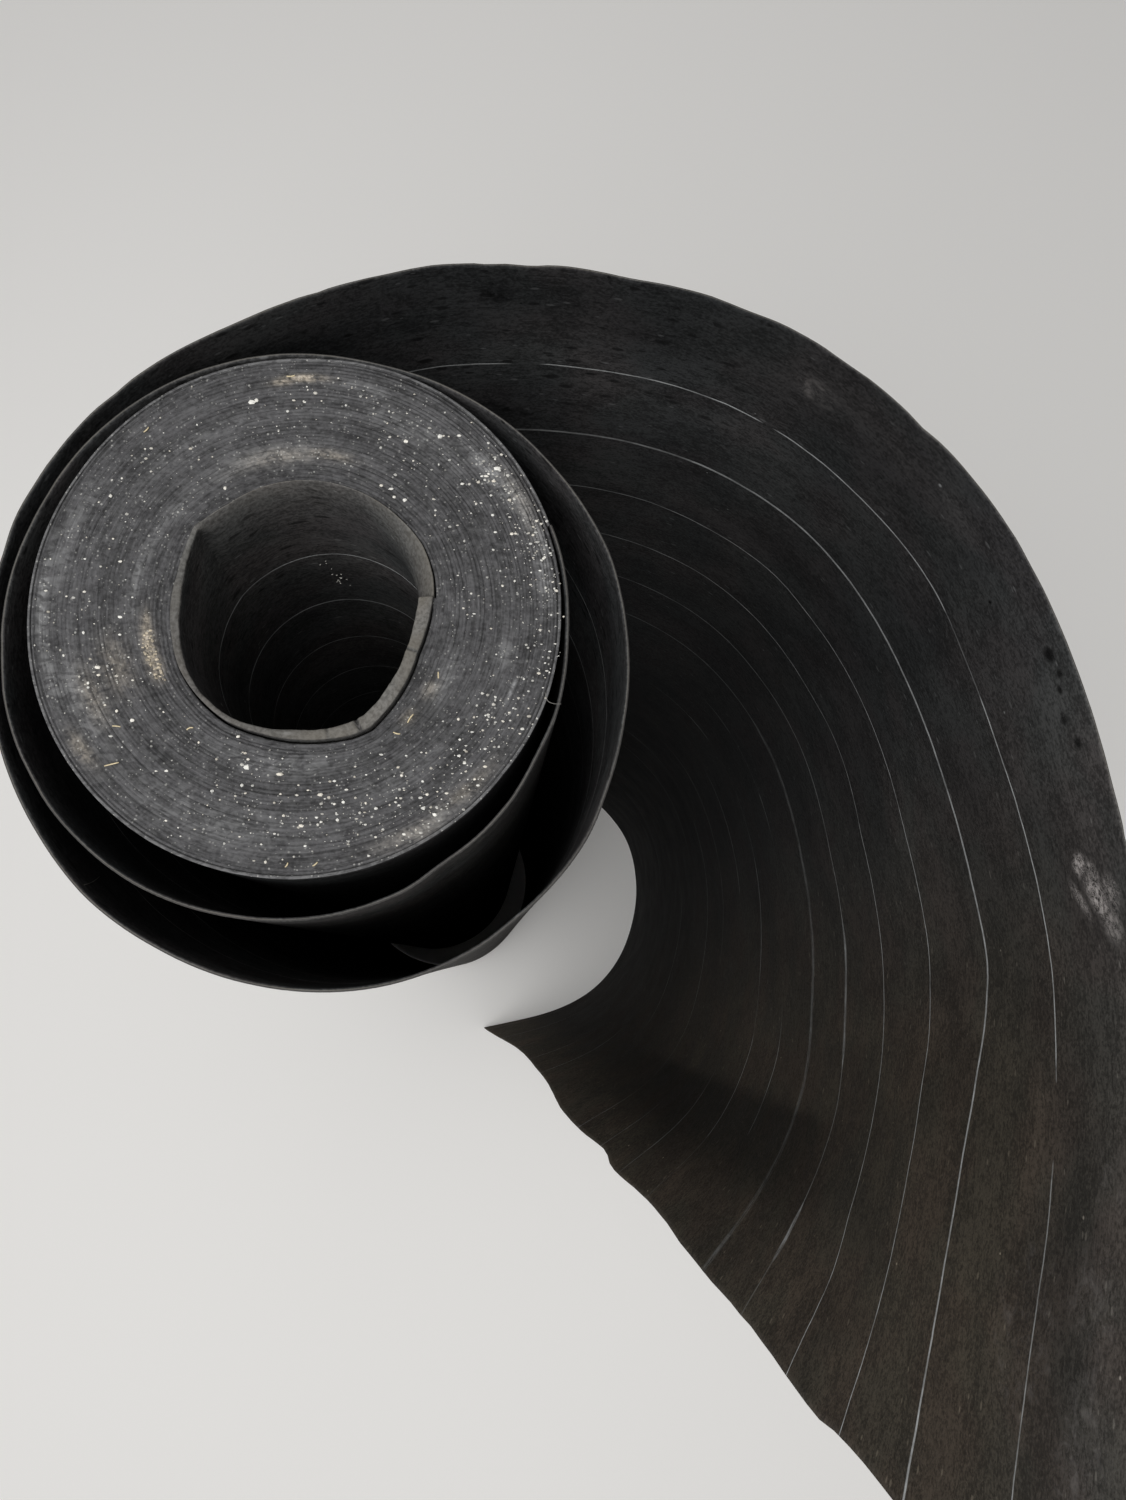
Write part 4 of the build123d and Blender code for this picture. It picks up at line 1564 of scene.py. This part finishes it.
def sheet_painted_light(run, height):
    """Painted light and shade and a painted warm reflection on the loose sheet: how light and how warm
    it is by its run and height, both in metres.
    """
    outer_side = run >= 2.0
    run = np.where(outer_side, run - 2.0, run)
    # Painted shade: darker towards the bottom of the sheet, less so towards the free end.
    low = 0.42 - 0.36 * smooth_step(run, 1.18, 1.26)
    low = low + 0.24 * smooth_step(run, 1.3, 1.5) + 1.5 * smooth_step(run, 1.54, 1.63)
    high = 1.15 + 0.78 * smooth_step(run, 1.3, 1.47)
    tone_and_painted_light = low + (high - low) * np.clip(height, 0, 1) ** 1.5
    # Painted light in the narrow gaps near the start of the loose sheet.
    inside = 1 - smooth_step(run, 1.12, 1.28)
    upper_half = smooth_step(height, 0.3, 0.65) * (1 - smooth_step(height, 0.92, 0.98))
    tone_and_painted_light = tone_and_painted_light * (1 + 1.3 * inside * upper_half)
    tone_and_painted_light = tone_and_painted_light * (1 + 1.6 * (1 - smooth_step(run, 1.04, 1.12)) * (1 - smooth_step(height, 0.5, 0.85)))
    # Painted light low down near the free end.
    painted_low_glow = smooth_step(run, 1.54, 1.62) * (1 - smooth_step(height, 0.3, 0.5))
    painted_low_glow = painted_low_glow + 0.7 * smooth_step(run, 1.47, 1.55) * (1 - smooth_step(height, 0.12, 0.35))
    tone_and_painted_light = tone_and_painted_light * (1 + 0.7 * painted_low_glow)
    # Painted sheen on the sheet near the free end.
    painted_sheen = np.exp(-(((run - 1.505) / 0.03) ** 2)) * smooth_step(height, 0.3, 0.4)
    tone_and_painted_light = tone_and_painted_light * (1 + 0.3 * painted_sheen * (1 - smooth_step(height, 0.6, 0.72)))
    # Painted light along the top.
    tone_and_painted_light = tone_and_painted_light * (1 + 0.35 * smooth_step(run, 1.24, 1.32) * smooth_step(height, 0.966, 0.985))
    # Painted shadow across the free end.
    painted_shadow = smooth_step(run, 1.528, 1.54) * (1 - smooth_step(run, 1.565, 1.61))
    painted_shadow = painted_shadow * smooth_step(height, 0.25, 0.45) * (1 - smooth_step(height, 0.68, 0.76))
    tone_and_painted_light = tone_and_painted_light * (1 - 0.6 * painted_shadow)
    # Painted warm reflection towards the free end, weaker at the top.
    warm_and_painted_reflection = smooth_step(run, 1.33, 1.52) * (1 - 0.5 * smooth_step(height, 0.9, 0.99))
    # Painted light on the outer face near the start of the sheet.
    painted_outer_face_light = 1 + 1.8 * (1 - smooth_step(run, 0.95, 1.1))
    # Painted light high up near the start of the sheet.
    tone_and_painted_light = tone_and_painted_light * (1 + 0.5 * (1 - smooth_step(run, 0.9, 1.02)) * smooth_step(height, 0.7, 0.9))
    return {"tone_and_painted_light": np.where(outer_side, painted_outer_face_light, tone_and_painted_light), "warm_and_painted_reflection": np.where(outer_side, 0.2, warm_and_painted_reflection)}


def build_loose_sheet():
    """The loose turns, the loop and the free end as one sheet with cut edges."""
    sheet = settings("felt_sheet")
    centre, run, levels = loose_sheet_centre()
    normal = sheet_normals(centre)
    inward = -normal
    if np.mean((centre[100, :, :2] * normal[100, :, :2]).sum(1)) < 0:
        inward = normal
    columns, rows = run.shape
    height = levels[None, :] * np.ones((columns, 1))
    ripple = noise_at(run / 0.022, height / 0.1) * np.exp(-(1 - height) / 0.03) * sheet.ripple * 0.3
    low_ripple = noise_at(run / 0.05 + 9.0, height / 0.12) * np.exp(-height / 0.05) * sheet.ripple
    centre = centre - inward * (sheet_swell(run, height) * MM)[:, :, None]
    centre = centre + inward * ((ripple + low_ripple) * smooth_step(run, 0.01, 0.12))[:, :, None]
    top_line = run[:, -1]
    nick = 0.12 * MM * noise_at(top_line / 0.004, np.full(columns, 1.7))
    nick = nick + 0.2 * MM * noise_at(top_line / 0.03, np.full(columns, 6.1))
    picked = random.Random(41)
    for _ in range(26):
        place = picked.uniform(0.05, float(top_line[-1]))
        deep = picked.uniform(0.25, 0.9) * MM
        wide = picked.uniform(0.0025, 0.006)
        nick = nick - deep * np.exp(-(((top_line - place) / wide) ** 2))
    near_top = smooth_step(height, 0.985, 1.0)
    centre[:, :, 2] = centre[:, :, 2] + nick[:, None] * near_top

    half = sheet.thickness / 2
    round_off = np.ones(rows)
    round_off[[0, -1]] = 0.66
    offset = inward * (half * round_off)[None, :, None]
    inner = centre + offset
    outer = centre - offset
    crown_lift = 0.14 * MM
    top_crown = centre[:, -1] + np.array([0, 0, crown_lift])
    bottom_crown = centre[:, 0]
    # Round each column: up the inner face, over the top edge, down the outer face, under the bottom
    ring = np.concatenate(
        [inner, top_crown[:, None], outer[:, ::-1], bottom_crown[:, None]], axis=1
    )
    ring_rows = ring.shape[1]
    vertices = ring.reshape(-1, 3)
    faces = grid_faces(columns, ring_rows, wrap_rows=True)

    def ring_values(inner_values, top_value, outer_values, bottom_value):
        return np.concatenate(
            [inner_values, top_value[:, None], outer_values[:, ::-1], bottom_value[:, None]], axis=1
        ).ravel()

    fade = np.zeros(rows)
    fade[[0, -1]] = -0.25
    edge_inner = np.repeat(fade[None, :], columns, 0)
    edge_inner[-1, :] = np.maximum(edge_inner[-1, :], 0.1)
    edge_outer = edge_inner.copy()
    full = 0.72 + 0.3 * noise_at(top_line / 0.02, np.full(columns, 12.2))
    full = full - 0.22 * smooth_step(top_line, 0.6, 0.63) * (1 - smooth_step(top_line, 0.67, 0.7))
    edge = ring_values(edge_inner, full, edge_outer, full)
    strength, half_width, line_height = line_marks(
        run, height * sheet.width, np.ones_like(run)
    )
    line_strength = ring_values(strength, strength[:, -1] * 0, strength * 0, strength[:, 0] * 0)
    half_width = ring_values(half_width, half_width[:, -1], half_width, half_width[:, 0])
    runs = ring_values(run, run[:, -1], run + 2.0, run[:, 0])
    line_height = ring_values(line_height, line_height[:, -1], line_height, line_height[:, 0])
    heights = ring_values(
        height * sheet.width, height[:, -1] * sheet.width, height * sheet.width, height[:, 0]
    )

    # Cut end: a row of points along its middle, a little proud of both faces
    crown_start = len(vertices)
    heading = centre[-1] - centre[-2]
    heading = heading / np.linalg.norm(heading, axis=1, keepdims=True)
    fray = 0.3 + 0.25 * noise_at(levels * 300, np.full(rows, 8.8))
    crown = centre[-1] + heading * (fray * MM)[:, None]
    vertices = np.vstack([vertices, crown])
    edge = np.r_[edge, np.full(rows, 0.5)]
    line_strength = np.r_[line_strength, np.zeros(rows)]
    half_width = np.r_[half_width, np.full(rows, 0.3)]
    line_height = np.r_[line_height, height[-1] * sheet.width]
    runs = np.r_[runs, run[-1]]
    heights = np.r_[heights, height[-1] * sheet.width]
    last = (columns - 1) * ring_rows
    faces = [list(face) for face in faces]
    inner_id = last + np.arange(rows)
    top_id = last + rows
    outer_id = last + rows + 1 + (rows - 1 - np.arange(rows))
    bottom_id = last + ring_rows - 1
    crown_id = crown_start + np.arange(rows)
    for row in range(rows - 1):
        faces.append([inner_id[row], crown_id[row], crown_id[row + 1], inner_id[row + 1]])
        faces.append([crown_id[row], outer_id[row], outer_id[row + 1], crown_id[row + 1]])
    faces.append([inner_id[-1], crown_id[-1], top_id])
    faces.append([crown_id[-1], outer_id[-1], top_id])
    faces.append([crown_id[0], inner_id[0], bottom_id])
    faces.append([outer_id[0], crown_id[0], bottom_id])
    # Start of the sheet, against the end of the last wound turn
    outer_start = rows + 1 + (rows - 1 - np.arange(rows))
    for row in range(rows - 1):
        faces.append([row, row + 1, outer_start[row + 1], outer_start[row]])
    faces.append([rows - 1, rows, outer_start[-1]])
    faces.append([0, outer_start[0], ring_rows - 1])
    return make_piece(
        "loose_sheet",
        vertices,
        faces,
        [felt_face_material()],
        np.stack([runs, heights], 1),
        {
            "line_strength": line_strength,
            "line_half_width": half_width,
            "line_height": line_height,
            "edge": edge,
            **sheet_painted_light(runs, heights),
        },
    )


# Grit, straw and loose fibres


def end_height(radius, degrees):
    """Height of the wound end at a place."""
    wound, sheet = settings("felt_wound"), settings("felt_sheet")
    turns = (radius - wound.bore_radius) / spiral_pitch()
    part = ((INNER_END_ANGLE - degrees) / 360.0) % 1.0
    winding = math.floor(turns - part) + part
    return sheet.width + float(crown_height(np.array([max(winding, 1.0)]))[0])


def grain_points(centre, size, heading, picked):
    """Twelve corners of one grain, pressed flat and uneven."""
    golden = (1 + 5**0.5) / 2
    corners = []
    for a, b in ((1, golden), (-1, golden), (1, -golden), (-1, -golden)):
        corners += [(0, a, b), (a, b, 0), (b, 0, a)]
    turned = Matrix.Rotation(heading, 3, "Z") @ Matrix.Rotation(picked.uniform(0, 3), 3, "X")
    stretch = (picked.uniform(0.8, 1.5), picked.uniform(0.7, 1.1), picked.uniform(0.45, 0.75))
    points = []
    for corner in corners:
        place = turned @ Vector(corner).normalized()
        place = Vector([p * s for p, s in zip(place, stretch)]) * picked.uniform(0.75, 1.15)
        points.append(centre + place * (size / 2))
    return points


def grain_faces():
    """Faces of the twenty-sided grain, found once from its corners."""
    golden = (1 + 5**0.5) / 2
    corners = []
    for a, b in ((1, golden), (-1, golden), (1, -golden), (-1, -golden)):
        corners += [Vector((0, a, b)), Vector((a, b, 0)), Vector((b, 0, a))]
    faces = []
    for i in range(12):
        for j in range(i + 1, 12):
            for k in range(j + 1, 12):
                sides = (
                    (corners[i] - corners[j]).length,
                    (corners[j] - corners[k]).length,
                    (corners[i] - corners[k]).length,
                )
                if max(sides) < 2.01:
                    normal = (corners[j] - corners[i]).cross(corners[k] - corners[i])
                    outward = normal.dot(corners[i] + corners[j] + corners[k]) > 0
                    faces.append((i, j, k) if outward else (i, k, j))
    return faces


# Crumbs of tan dust beside the bore: angle range in degrees, radius range in millimetres.
CRUMB_ARC = (-172.0, -148.0, 44.8, 48.2)
CRUMBS = 70
# Rows of flecks on the wound end: angle and radius of both ends, and how many.
FLECK_ROWS = [((17.5, 63.5), (14.5, 72.5), 7), ((16.0, 70.5), (6.5, 69.5), 7)]
BORE_FLECKS = 15


def build_grit():
    """White and cream grit on the wound end, in drifts and scattered."""
    wound, finish = settings("felt_wound"), settings("felt_finish")
    sheet = settings("felt_sheet")
    picked = random.Random(7)
    # Angle, radius, size, tone and warmth of each grain
    grains = [(a, r, 1.35 * size, 1.0, picked.uniform(0, 0.3)) for a, r, size in NAMED_FLECKS]

    def looks():
        return 0.45 + 0.55 * picked.random(), picked.uniform(0, 0.6) ** 2

    for angle, radius, round_spread, across_spread, count in GRIT_DRIFTS:
        for _ in range(round(count * 1.35)):
            place_radius = radius + picked.gauss(0, across_spread)
            place_angle = angle + math.degrees(picked.gauss(0, round_spread) / radius)
            size = 0.3 + 0.85 * picked.random() ** 2.2
            grains.append((place_angle, place_radius, size, *looks()))
    for _ in range(SCATTERED_GRAINS):
        place_radius = picked.uniform(43, 80)
        size = 0.24 + 0.5 * picked.random() ** 2
        grains.append((picked.uniform(0, 360), place_radius, size, *looks()))
    for first, last, count in FLECK_ROWS:
        for index in range(count):
            share = (index + picked.uniform(-0.25, 0.25)) / (count - 1)
            place = [a + (b - a) * share for a, b in zip(first, last)]
            grains.append((*place, picked.uniform(0.35, 0.65), *looks()))
    low_angle, high_angle, low_radius, high_radius = CRUMB_ARC
    for _ in range(CRUMBS):
        place_angle = low_angle + (high_angle - low_angle) * picked.betavariate(2.2, 1.6)
        place_radius = picked.uniform(low_radius, high_radius)
        size = picked.uniform(0.4, 1.0)
        grains.append((place_angle, place_radius, size, picked.uniform(0.3, 0.72), 0.75))
    vertices, faces, tones, warms = [], [], [], []
    pattern = grain_faces()

    def keep(centre, size, tone_and_painted_light, warm_and_painted_reflection):
        start = len(vertices)
        vertices.extend(grain_points(centre, size * MM, picked.uniform(0, 6.28), picked))
        faces.extend([start + corner for corner in face] for face in pattern)
        tones.extend([tone_and_painted_light] * 12)
        warms.extend([warm_and_painted_reflection] * 12)

    for angle, radius, size, tone_and_painted_light, warm_and_painted_reflection in grains:
        if not wound.bore_radius / MM + 4.0 < radius < wound.outer_radius / MM - 1.3:
            continue
        height = end_height(radius * MM, angle)
        turn = math.radians(angle)
        across = radius * MM
        centre = (across * math.cos(turn), across * math.sin(turn), height + 0.08 * size * MM)
        keep(Vector(centre), size, tone_and_painted_light, warm_and_painted_reflection)
    # A few specks on the far wall of the bore
    for _ in range(BORE_FLECKS):
        turn = math.radians(picked.gauss(93, 3.2))
        height = 0.9085 + picked.gauss(0, 0.0085)
        wall = wound.bore_radius + spiral_pitch() * 0.755
        lip = rim_at(np.array([93.0]))[0][0] * MM - 0.9 * sheet.thickness
        near_mouth = math.exp(-(((sheet.width - height) / MOUTH_DEPTH) ** 2))
        across = wall + (lip - wall) * near_mouth - 0.1 * MM
        centre = (across * math.cos(turn), across * math.sin(turn), height)
        keep(Vector(centre), picked.uniform(0.4, 0.75), picked.uniform(0.6, 1.1), 0.1)
    piece = make_piece(
        "white_grit",
        [list(v) for v in vertices],
        faces,
        [loose_bit_material("white_grit", finish.grit, 0.6)],
        None,
        {"tone_and_painted_light": tones, "warm_and_painted_reflection": warms},
    )
    for polygon in piece.data.polygons:
        polygon.use_smooth = False
    return piece


def tube(path, radius, sides, vertices, faces):
    """Adds a thin closed tube along a path."""
    start = len(vertices)
    for index, place in enumerate(path):
        ahead = path[min(index + 1, len(path) - 1)] - path[max(index - 1, 0)]
        ahead.normalize()
        side = ahead.cross(Vector((0.13, 0.21, 0.97))).normalized()
        up = side.cross(ahead)
        for corner in range(sides):
            turn = 2 * math.pi * corner / sides
            offset = side * math.cos(turn) + up * math.sin(turn)
            vertices.append(place + offset * radius[index])
    for index in range(len(path) - 1):
        for corner in range(sides):
            after = (corner + 1) % sides
            a = start + index * sides
            b = a + sides
            faces.append([a + corner, a + after, b + after, b + corner])
    faces.append([start + corner for corner in range(sides)][::-1])
    last = start + (len(path) - 1) * sides
    faces.append([last + corner for corner in range(sides)])


def build_straw():
    """Bits of straw lying on the wound end."""
    picked = random.Random(19)
    vertices, faces = [], []
    for angle, radius, length, heading in STRAWS:
        height = end_height(radius * MM, angle)
        middle = Vector(
            (
                radius * MM * math.cos(math.radians(angle)),
                radius * MM * math.sin(math.radians(angle)),
                height + 0.17 * MM,
            )
        )
        bend = picked.uniform(-0.16, 0.16)
        path, widths = [], []
        for step in range(7):
            share = step / 6 - 0.5
            turn = math.radians(heading)
            ahead = Vector((math.cos(turn), math.sin(turn), 0.0))
            side = Vector((-math.sin(turn), math.cos(turn), 0.0))
            place = middle + ahead * share * length * MM
            place += side * bend * length * MM * (1 - 4 * share * share)
            path.append(place)
            widths.append((0.24 - 0.12 * abs(share)) * MM)
        tube(path, widths, 6, vertices, faces)
    return make_piece(
        "straw_bits",
        [list(v) for v in vertices],
        faces,
        [loose_bit_material("straw", (0.62, 0.52, 0.33), 0.5)],
        None,
        {"tone_and_painted_light": np.ones(len(vertices)), "warm_and_painted_reflection": np.zeros(len(vertices))},
    )


# Loose fibres: points and thickness in millimetres, how light and how warm.
STRAY_FIBRES = [
    (
        [(73.1, -25.6, 1000), (73.4, -27.2, 1001.2), (73.8, -28.5, 1001.2), (75.5, -29.4, 1000.8),
         (78.1, -29.4, 1000.3)],
        0.15, 0.5, 0.0,
    ),
    ([(-59.3, -83.7, 996), (-60.1, -83, 990), (-61.1, -81.9, 983), (-63.3, -79.5, 971)], 0.2, 0.42, 0.1),
]


def build_fibres():
    """Two hairs: one curled at the rim of the wound end, one between the loose turns."""
    vertices, faces, tones, warms = [], [], [], []
    for points, thickness, tone_and_painted_light, warm_and_painted_reflection in STRAY_FIBRES:
        curve = clamped_spline(np.array(points) * MM, 22)
        path = [Vector(place) for place in curve]
        radius = [thickness * MM / 2] * len(path)
        radius[0] = radius[-1] = thickness * MM / 4
        tube(path, radius, 6, vertices, faces)
        tones.extend([tone_and_painted_light] * (len(path) * 6))
        warms.extend([warm_and_painted_reflection] * (len(path) * 6))
    return make_piece(
        "stray_fibres",
        [list(v) for v in vertices],
        faces,
        [loose_bit_material("stray_fibre", (0.5, 0.48, 0.44), 0.45)],
        None,
        {"tone_and_painted_light": tones, "warm_and_painted_reflection": warms},
    )


# Stage

# The photograph's camera: its place, and its right, up and back directions.
CAMERA_PLACE = (0.0574, -0.1044, 1.3345)
CAMERA_RIGHT = (0.998, 0.0, 0.06326)
CAMERA_UP = (-0.01133, 0.98384, 0.17869)
CAMERA_BACK = (-0.06224, -0.17905, 0.98187)
FOCAL_PIXELS = 1142.35
PHOTO_LONG_SIDE = 1500.0
SENSOR = 36.0


def build_stage():
    """Plain pale floor, soft light and the photograph's camera."""
    stage = settings("felt_stage")
    scene = bpy.context.scene
    scene.view_settings.view_transform = "Standard"

    material, tree, shader = new_material("pale_floor")
    spot = add(tree, "ShaderNodeTexCoord").outputs["Object"]
    cloud = noise_value(tree, spot, 1.4, 2.0)
    base = mixed(tree, cloud, colour(stage.floor, 0.32), colour(stage.floor, 0.34))
    path = tree.nodes.new("ShaderNodeLightPath").outputs
    seen = maths(tree, "MAXIMUM", path["Is Camera Ray"], path["Is Transmission Ray"])
    seen = maths(tree, "MAXIMUM", seen, path["Is Glossy Ray"])
    lighter = mixed(tree, cloud, colour(stage.floor, 1.01), colour(stage.floor, 1.04))
    base = mixed(tree, seen, base, lighter)
    feed(tree, shader.inputs["Base Color"], base)
    shader.inputs["Roughness"].default_value = 0.8
    mesh = bpy.data.meshes.new("floor")
    reach = 14.0
    corners = [(-reach, -reach, 0), (reach, -reach, 0), (reach, reach, 0), (-reach, reach, 0)]
    mesh.from_pydata(corners, [], [(0, 1, 2, 3)])
    mesh.materials.append(material)
    floor = bpy.data.objects.new("floor", mesh)
    floor.location.z = -0.0005
    scene.collection.objects.link(floor)

    world = bpy.data.worlds.new("studio")
    world.use_nodes = True
    scene.world = world
    tree = world.node_tree
    background = tree.nodes["Background"]
    background.inputs["Color"].default_value = (1.0, 1.0, 1.0, 1.0)
    path = tree.nodes.new("ShaderNodeLightPath")
    seen = maths(tree, "MAXIMUM", path.outputs["Is Camera Ray"], path.outputs["Is Transmission Ray"])
    strength = ramp_between(tree, seen, 0.0, 1.0, stage.sky, 1.0)
    feed(tree, background.inputs["Strength"], strength)

    lamp_data = bpy.data.lights.new("soft_lamp", "AREA")
    lamp_data.shape = "DISK"
    lamp_data.size = 1.6
    lamp_data.energy = stage.lamp
    lamp = bpy.data.objects.new("soft_lamp", lamp_data)
    lamp.location = (-0.38, -0.5, 2.3)
    aim = Vector((0.05, -0.03, 0.9)) - lamp.location
    lamp.rotation_euler = aim.to_track_quat("-Z", "Y").to_euler()
    scene.collection.objects.link(lamp)

    camera_data = bpy.data.cameras.new("camera")
    camera_data.sensor_width = SENSOR
    camera_data.lens = FOCAL_PIXELS / PHOTO_LONG_SIDE * SENSOR
    camera_data.clip_start = 0.01
    camera = bpy.data.objects.new("camera", camera_data)
    turned = Matrix((CAMERA_RIGHT, CAMERA_UP, CAMERA_BACK)).transposed().to_4x4()
    camera.matrix_world = Matrix.Translation(CAMERA_PLACE) @ turned
    scene.collection.objects.link(camera)
    scene.camera = camera


# Operators


class FELT_OT_wound_turns(bpy.types.Operator):
    """Build the tightly wound turns, with their edges on both ends"""

    bl_idname = "felt.wound_turns"
    bl_label = "Wound Turns"
    bl_options = {"REGISTER", "UNDO"}

    def execute(self, context):
        piece = build_wound_part()
        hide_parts(FELT_NODE)
        return {"FINISHED"}


class FELT_OT_inner_turn(bpy.types.Operator):
    """Build the innermost turn, with its rim turned in"""

    bl_idname = "felt.inner_turn"
    bl_label = "Inner Turn"
    bl_options = {"REGISTER", "UNDO"}

    def execute(self, context):
        piece = build_inner_turn()
        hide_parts(FELT_NODE)
        return {"FINISHED"}


class FELT_OT_loose_sheet(bpy.types.Operator):
    """Build the loose turns, the loop and the free end"""

    bl_idname = "felt.loose_sheet"
    bl_label = "Loose Sheet"
    bl_options = {"REGISTER", "UNDO"}

    def execute(self, context):
        piece = build_loose_sheet()
        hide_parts(FELT_NODE)
        return {"FINISHED"}


class FELT_OT_loose_bits(bpy.types.Operator):
    """Scatter the grit, the straw and the stray fibres"""

    bl_idname = "felt.loose_bits"
    bl_label = "Grit, Straw and Fibres"
    bl_options = {"REGISTER", "UNDO"}

    def execute(self, context):
        for build in (build_grit, build_straw, build_fibres):
            build()
        return {"FINISHED"}


class FELT_OT_stage(bpy.types.Operator):
    """Set up the floor, the light and the camera"""

    bl_idname = "felt.stage"
    bl_label = "Stage"
    bl_options = {"REGISTER", "UNDO"}

    def execute(self, context):
        build_stage()
        return {"FINISHED"}


OPERATORS = [
    FELT_OT_wound_turns,
    FELT_OT_inner_turn,
    FELT_OT_loose_sheet,
    FELT_OT_loose_bits,
    FELT_OT_stage,
]
SCENE_GROUPS = {
    "felt_sheet": FeltSheetSettings,
    "felt_wound": WoundPartSettings,
    "felt_finish": FeltFinishSettings,
    "felt_stage": FeltStageSettings,
}


class FELT_PT_roll(bpy.types.Panel):
    """Sizes, colours and building steps of the felt roll"""

    bl_idname = "FELT_PT_roll"
    bl_label = "Felt Roll"
    bl_space_type = "VIEW_3D"
    bl_region_type = "UI"
    bl_category = "Felt Roll"

    def draw(self, context):
        for operator in OPERATORS:
            self.layout.operator(operator.bl_idname)
        for name, group in SCENE_GROUPS.items():
            box = self.layout.box()
            for key in group.__annotations__:
                box.prop(getattr(context.scene, name), key)


def register():
    for group in SCENE_GROUPS.values():
        bpy.utils.register_class(group)
    for name, group in SCENE_GROUPS.items():
        setattr(bpy.types.Scene, name, PointerProperty(type=group))
    for made in (*OPERATORS, FELT_PT_roll):
        bpy.utils.register_class(made)


def unregister():
    for made in (FELT_PT_roll, *reversed(OPERATORS)):
        bpy.utils.unregister_class(made)
    for name, group in SCENE_GROUPS.items():
        delattr(bpy.types.Scene, name)
        bpy.utils.unregister_class(group)


def main():
    register()
    for operator in OPERATORS:
        group, step = operator.bl_idname.split(".")
        getattr(getattr(bpy.ops, group), step)()


if __name__ == "__main__":
    main()
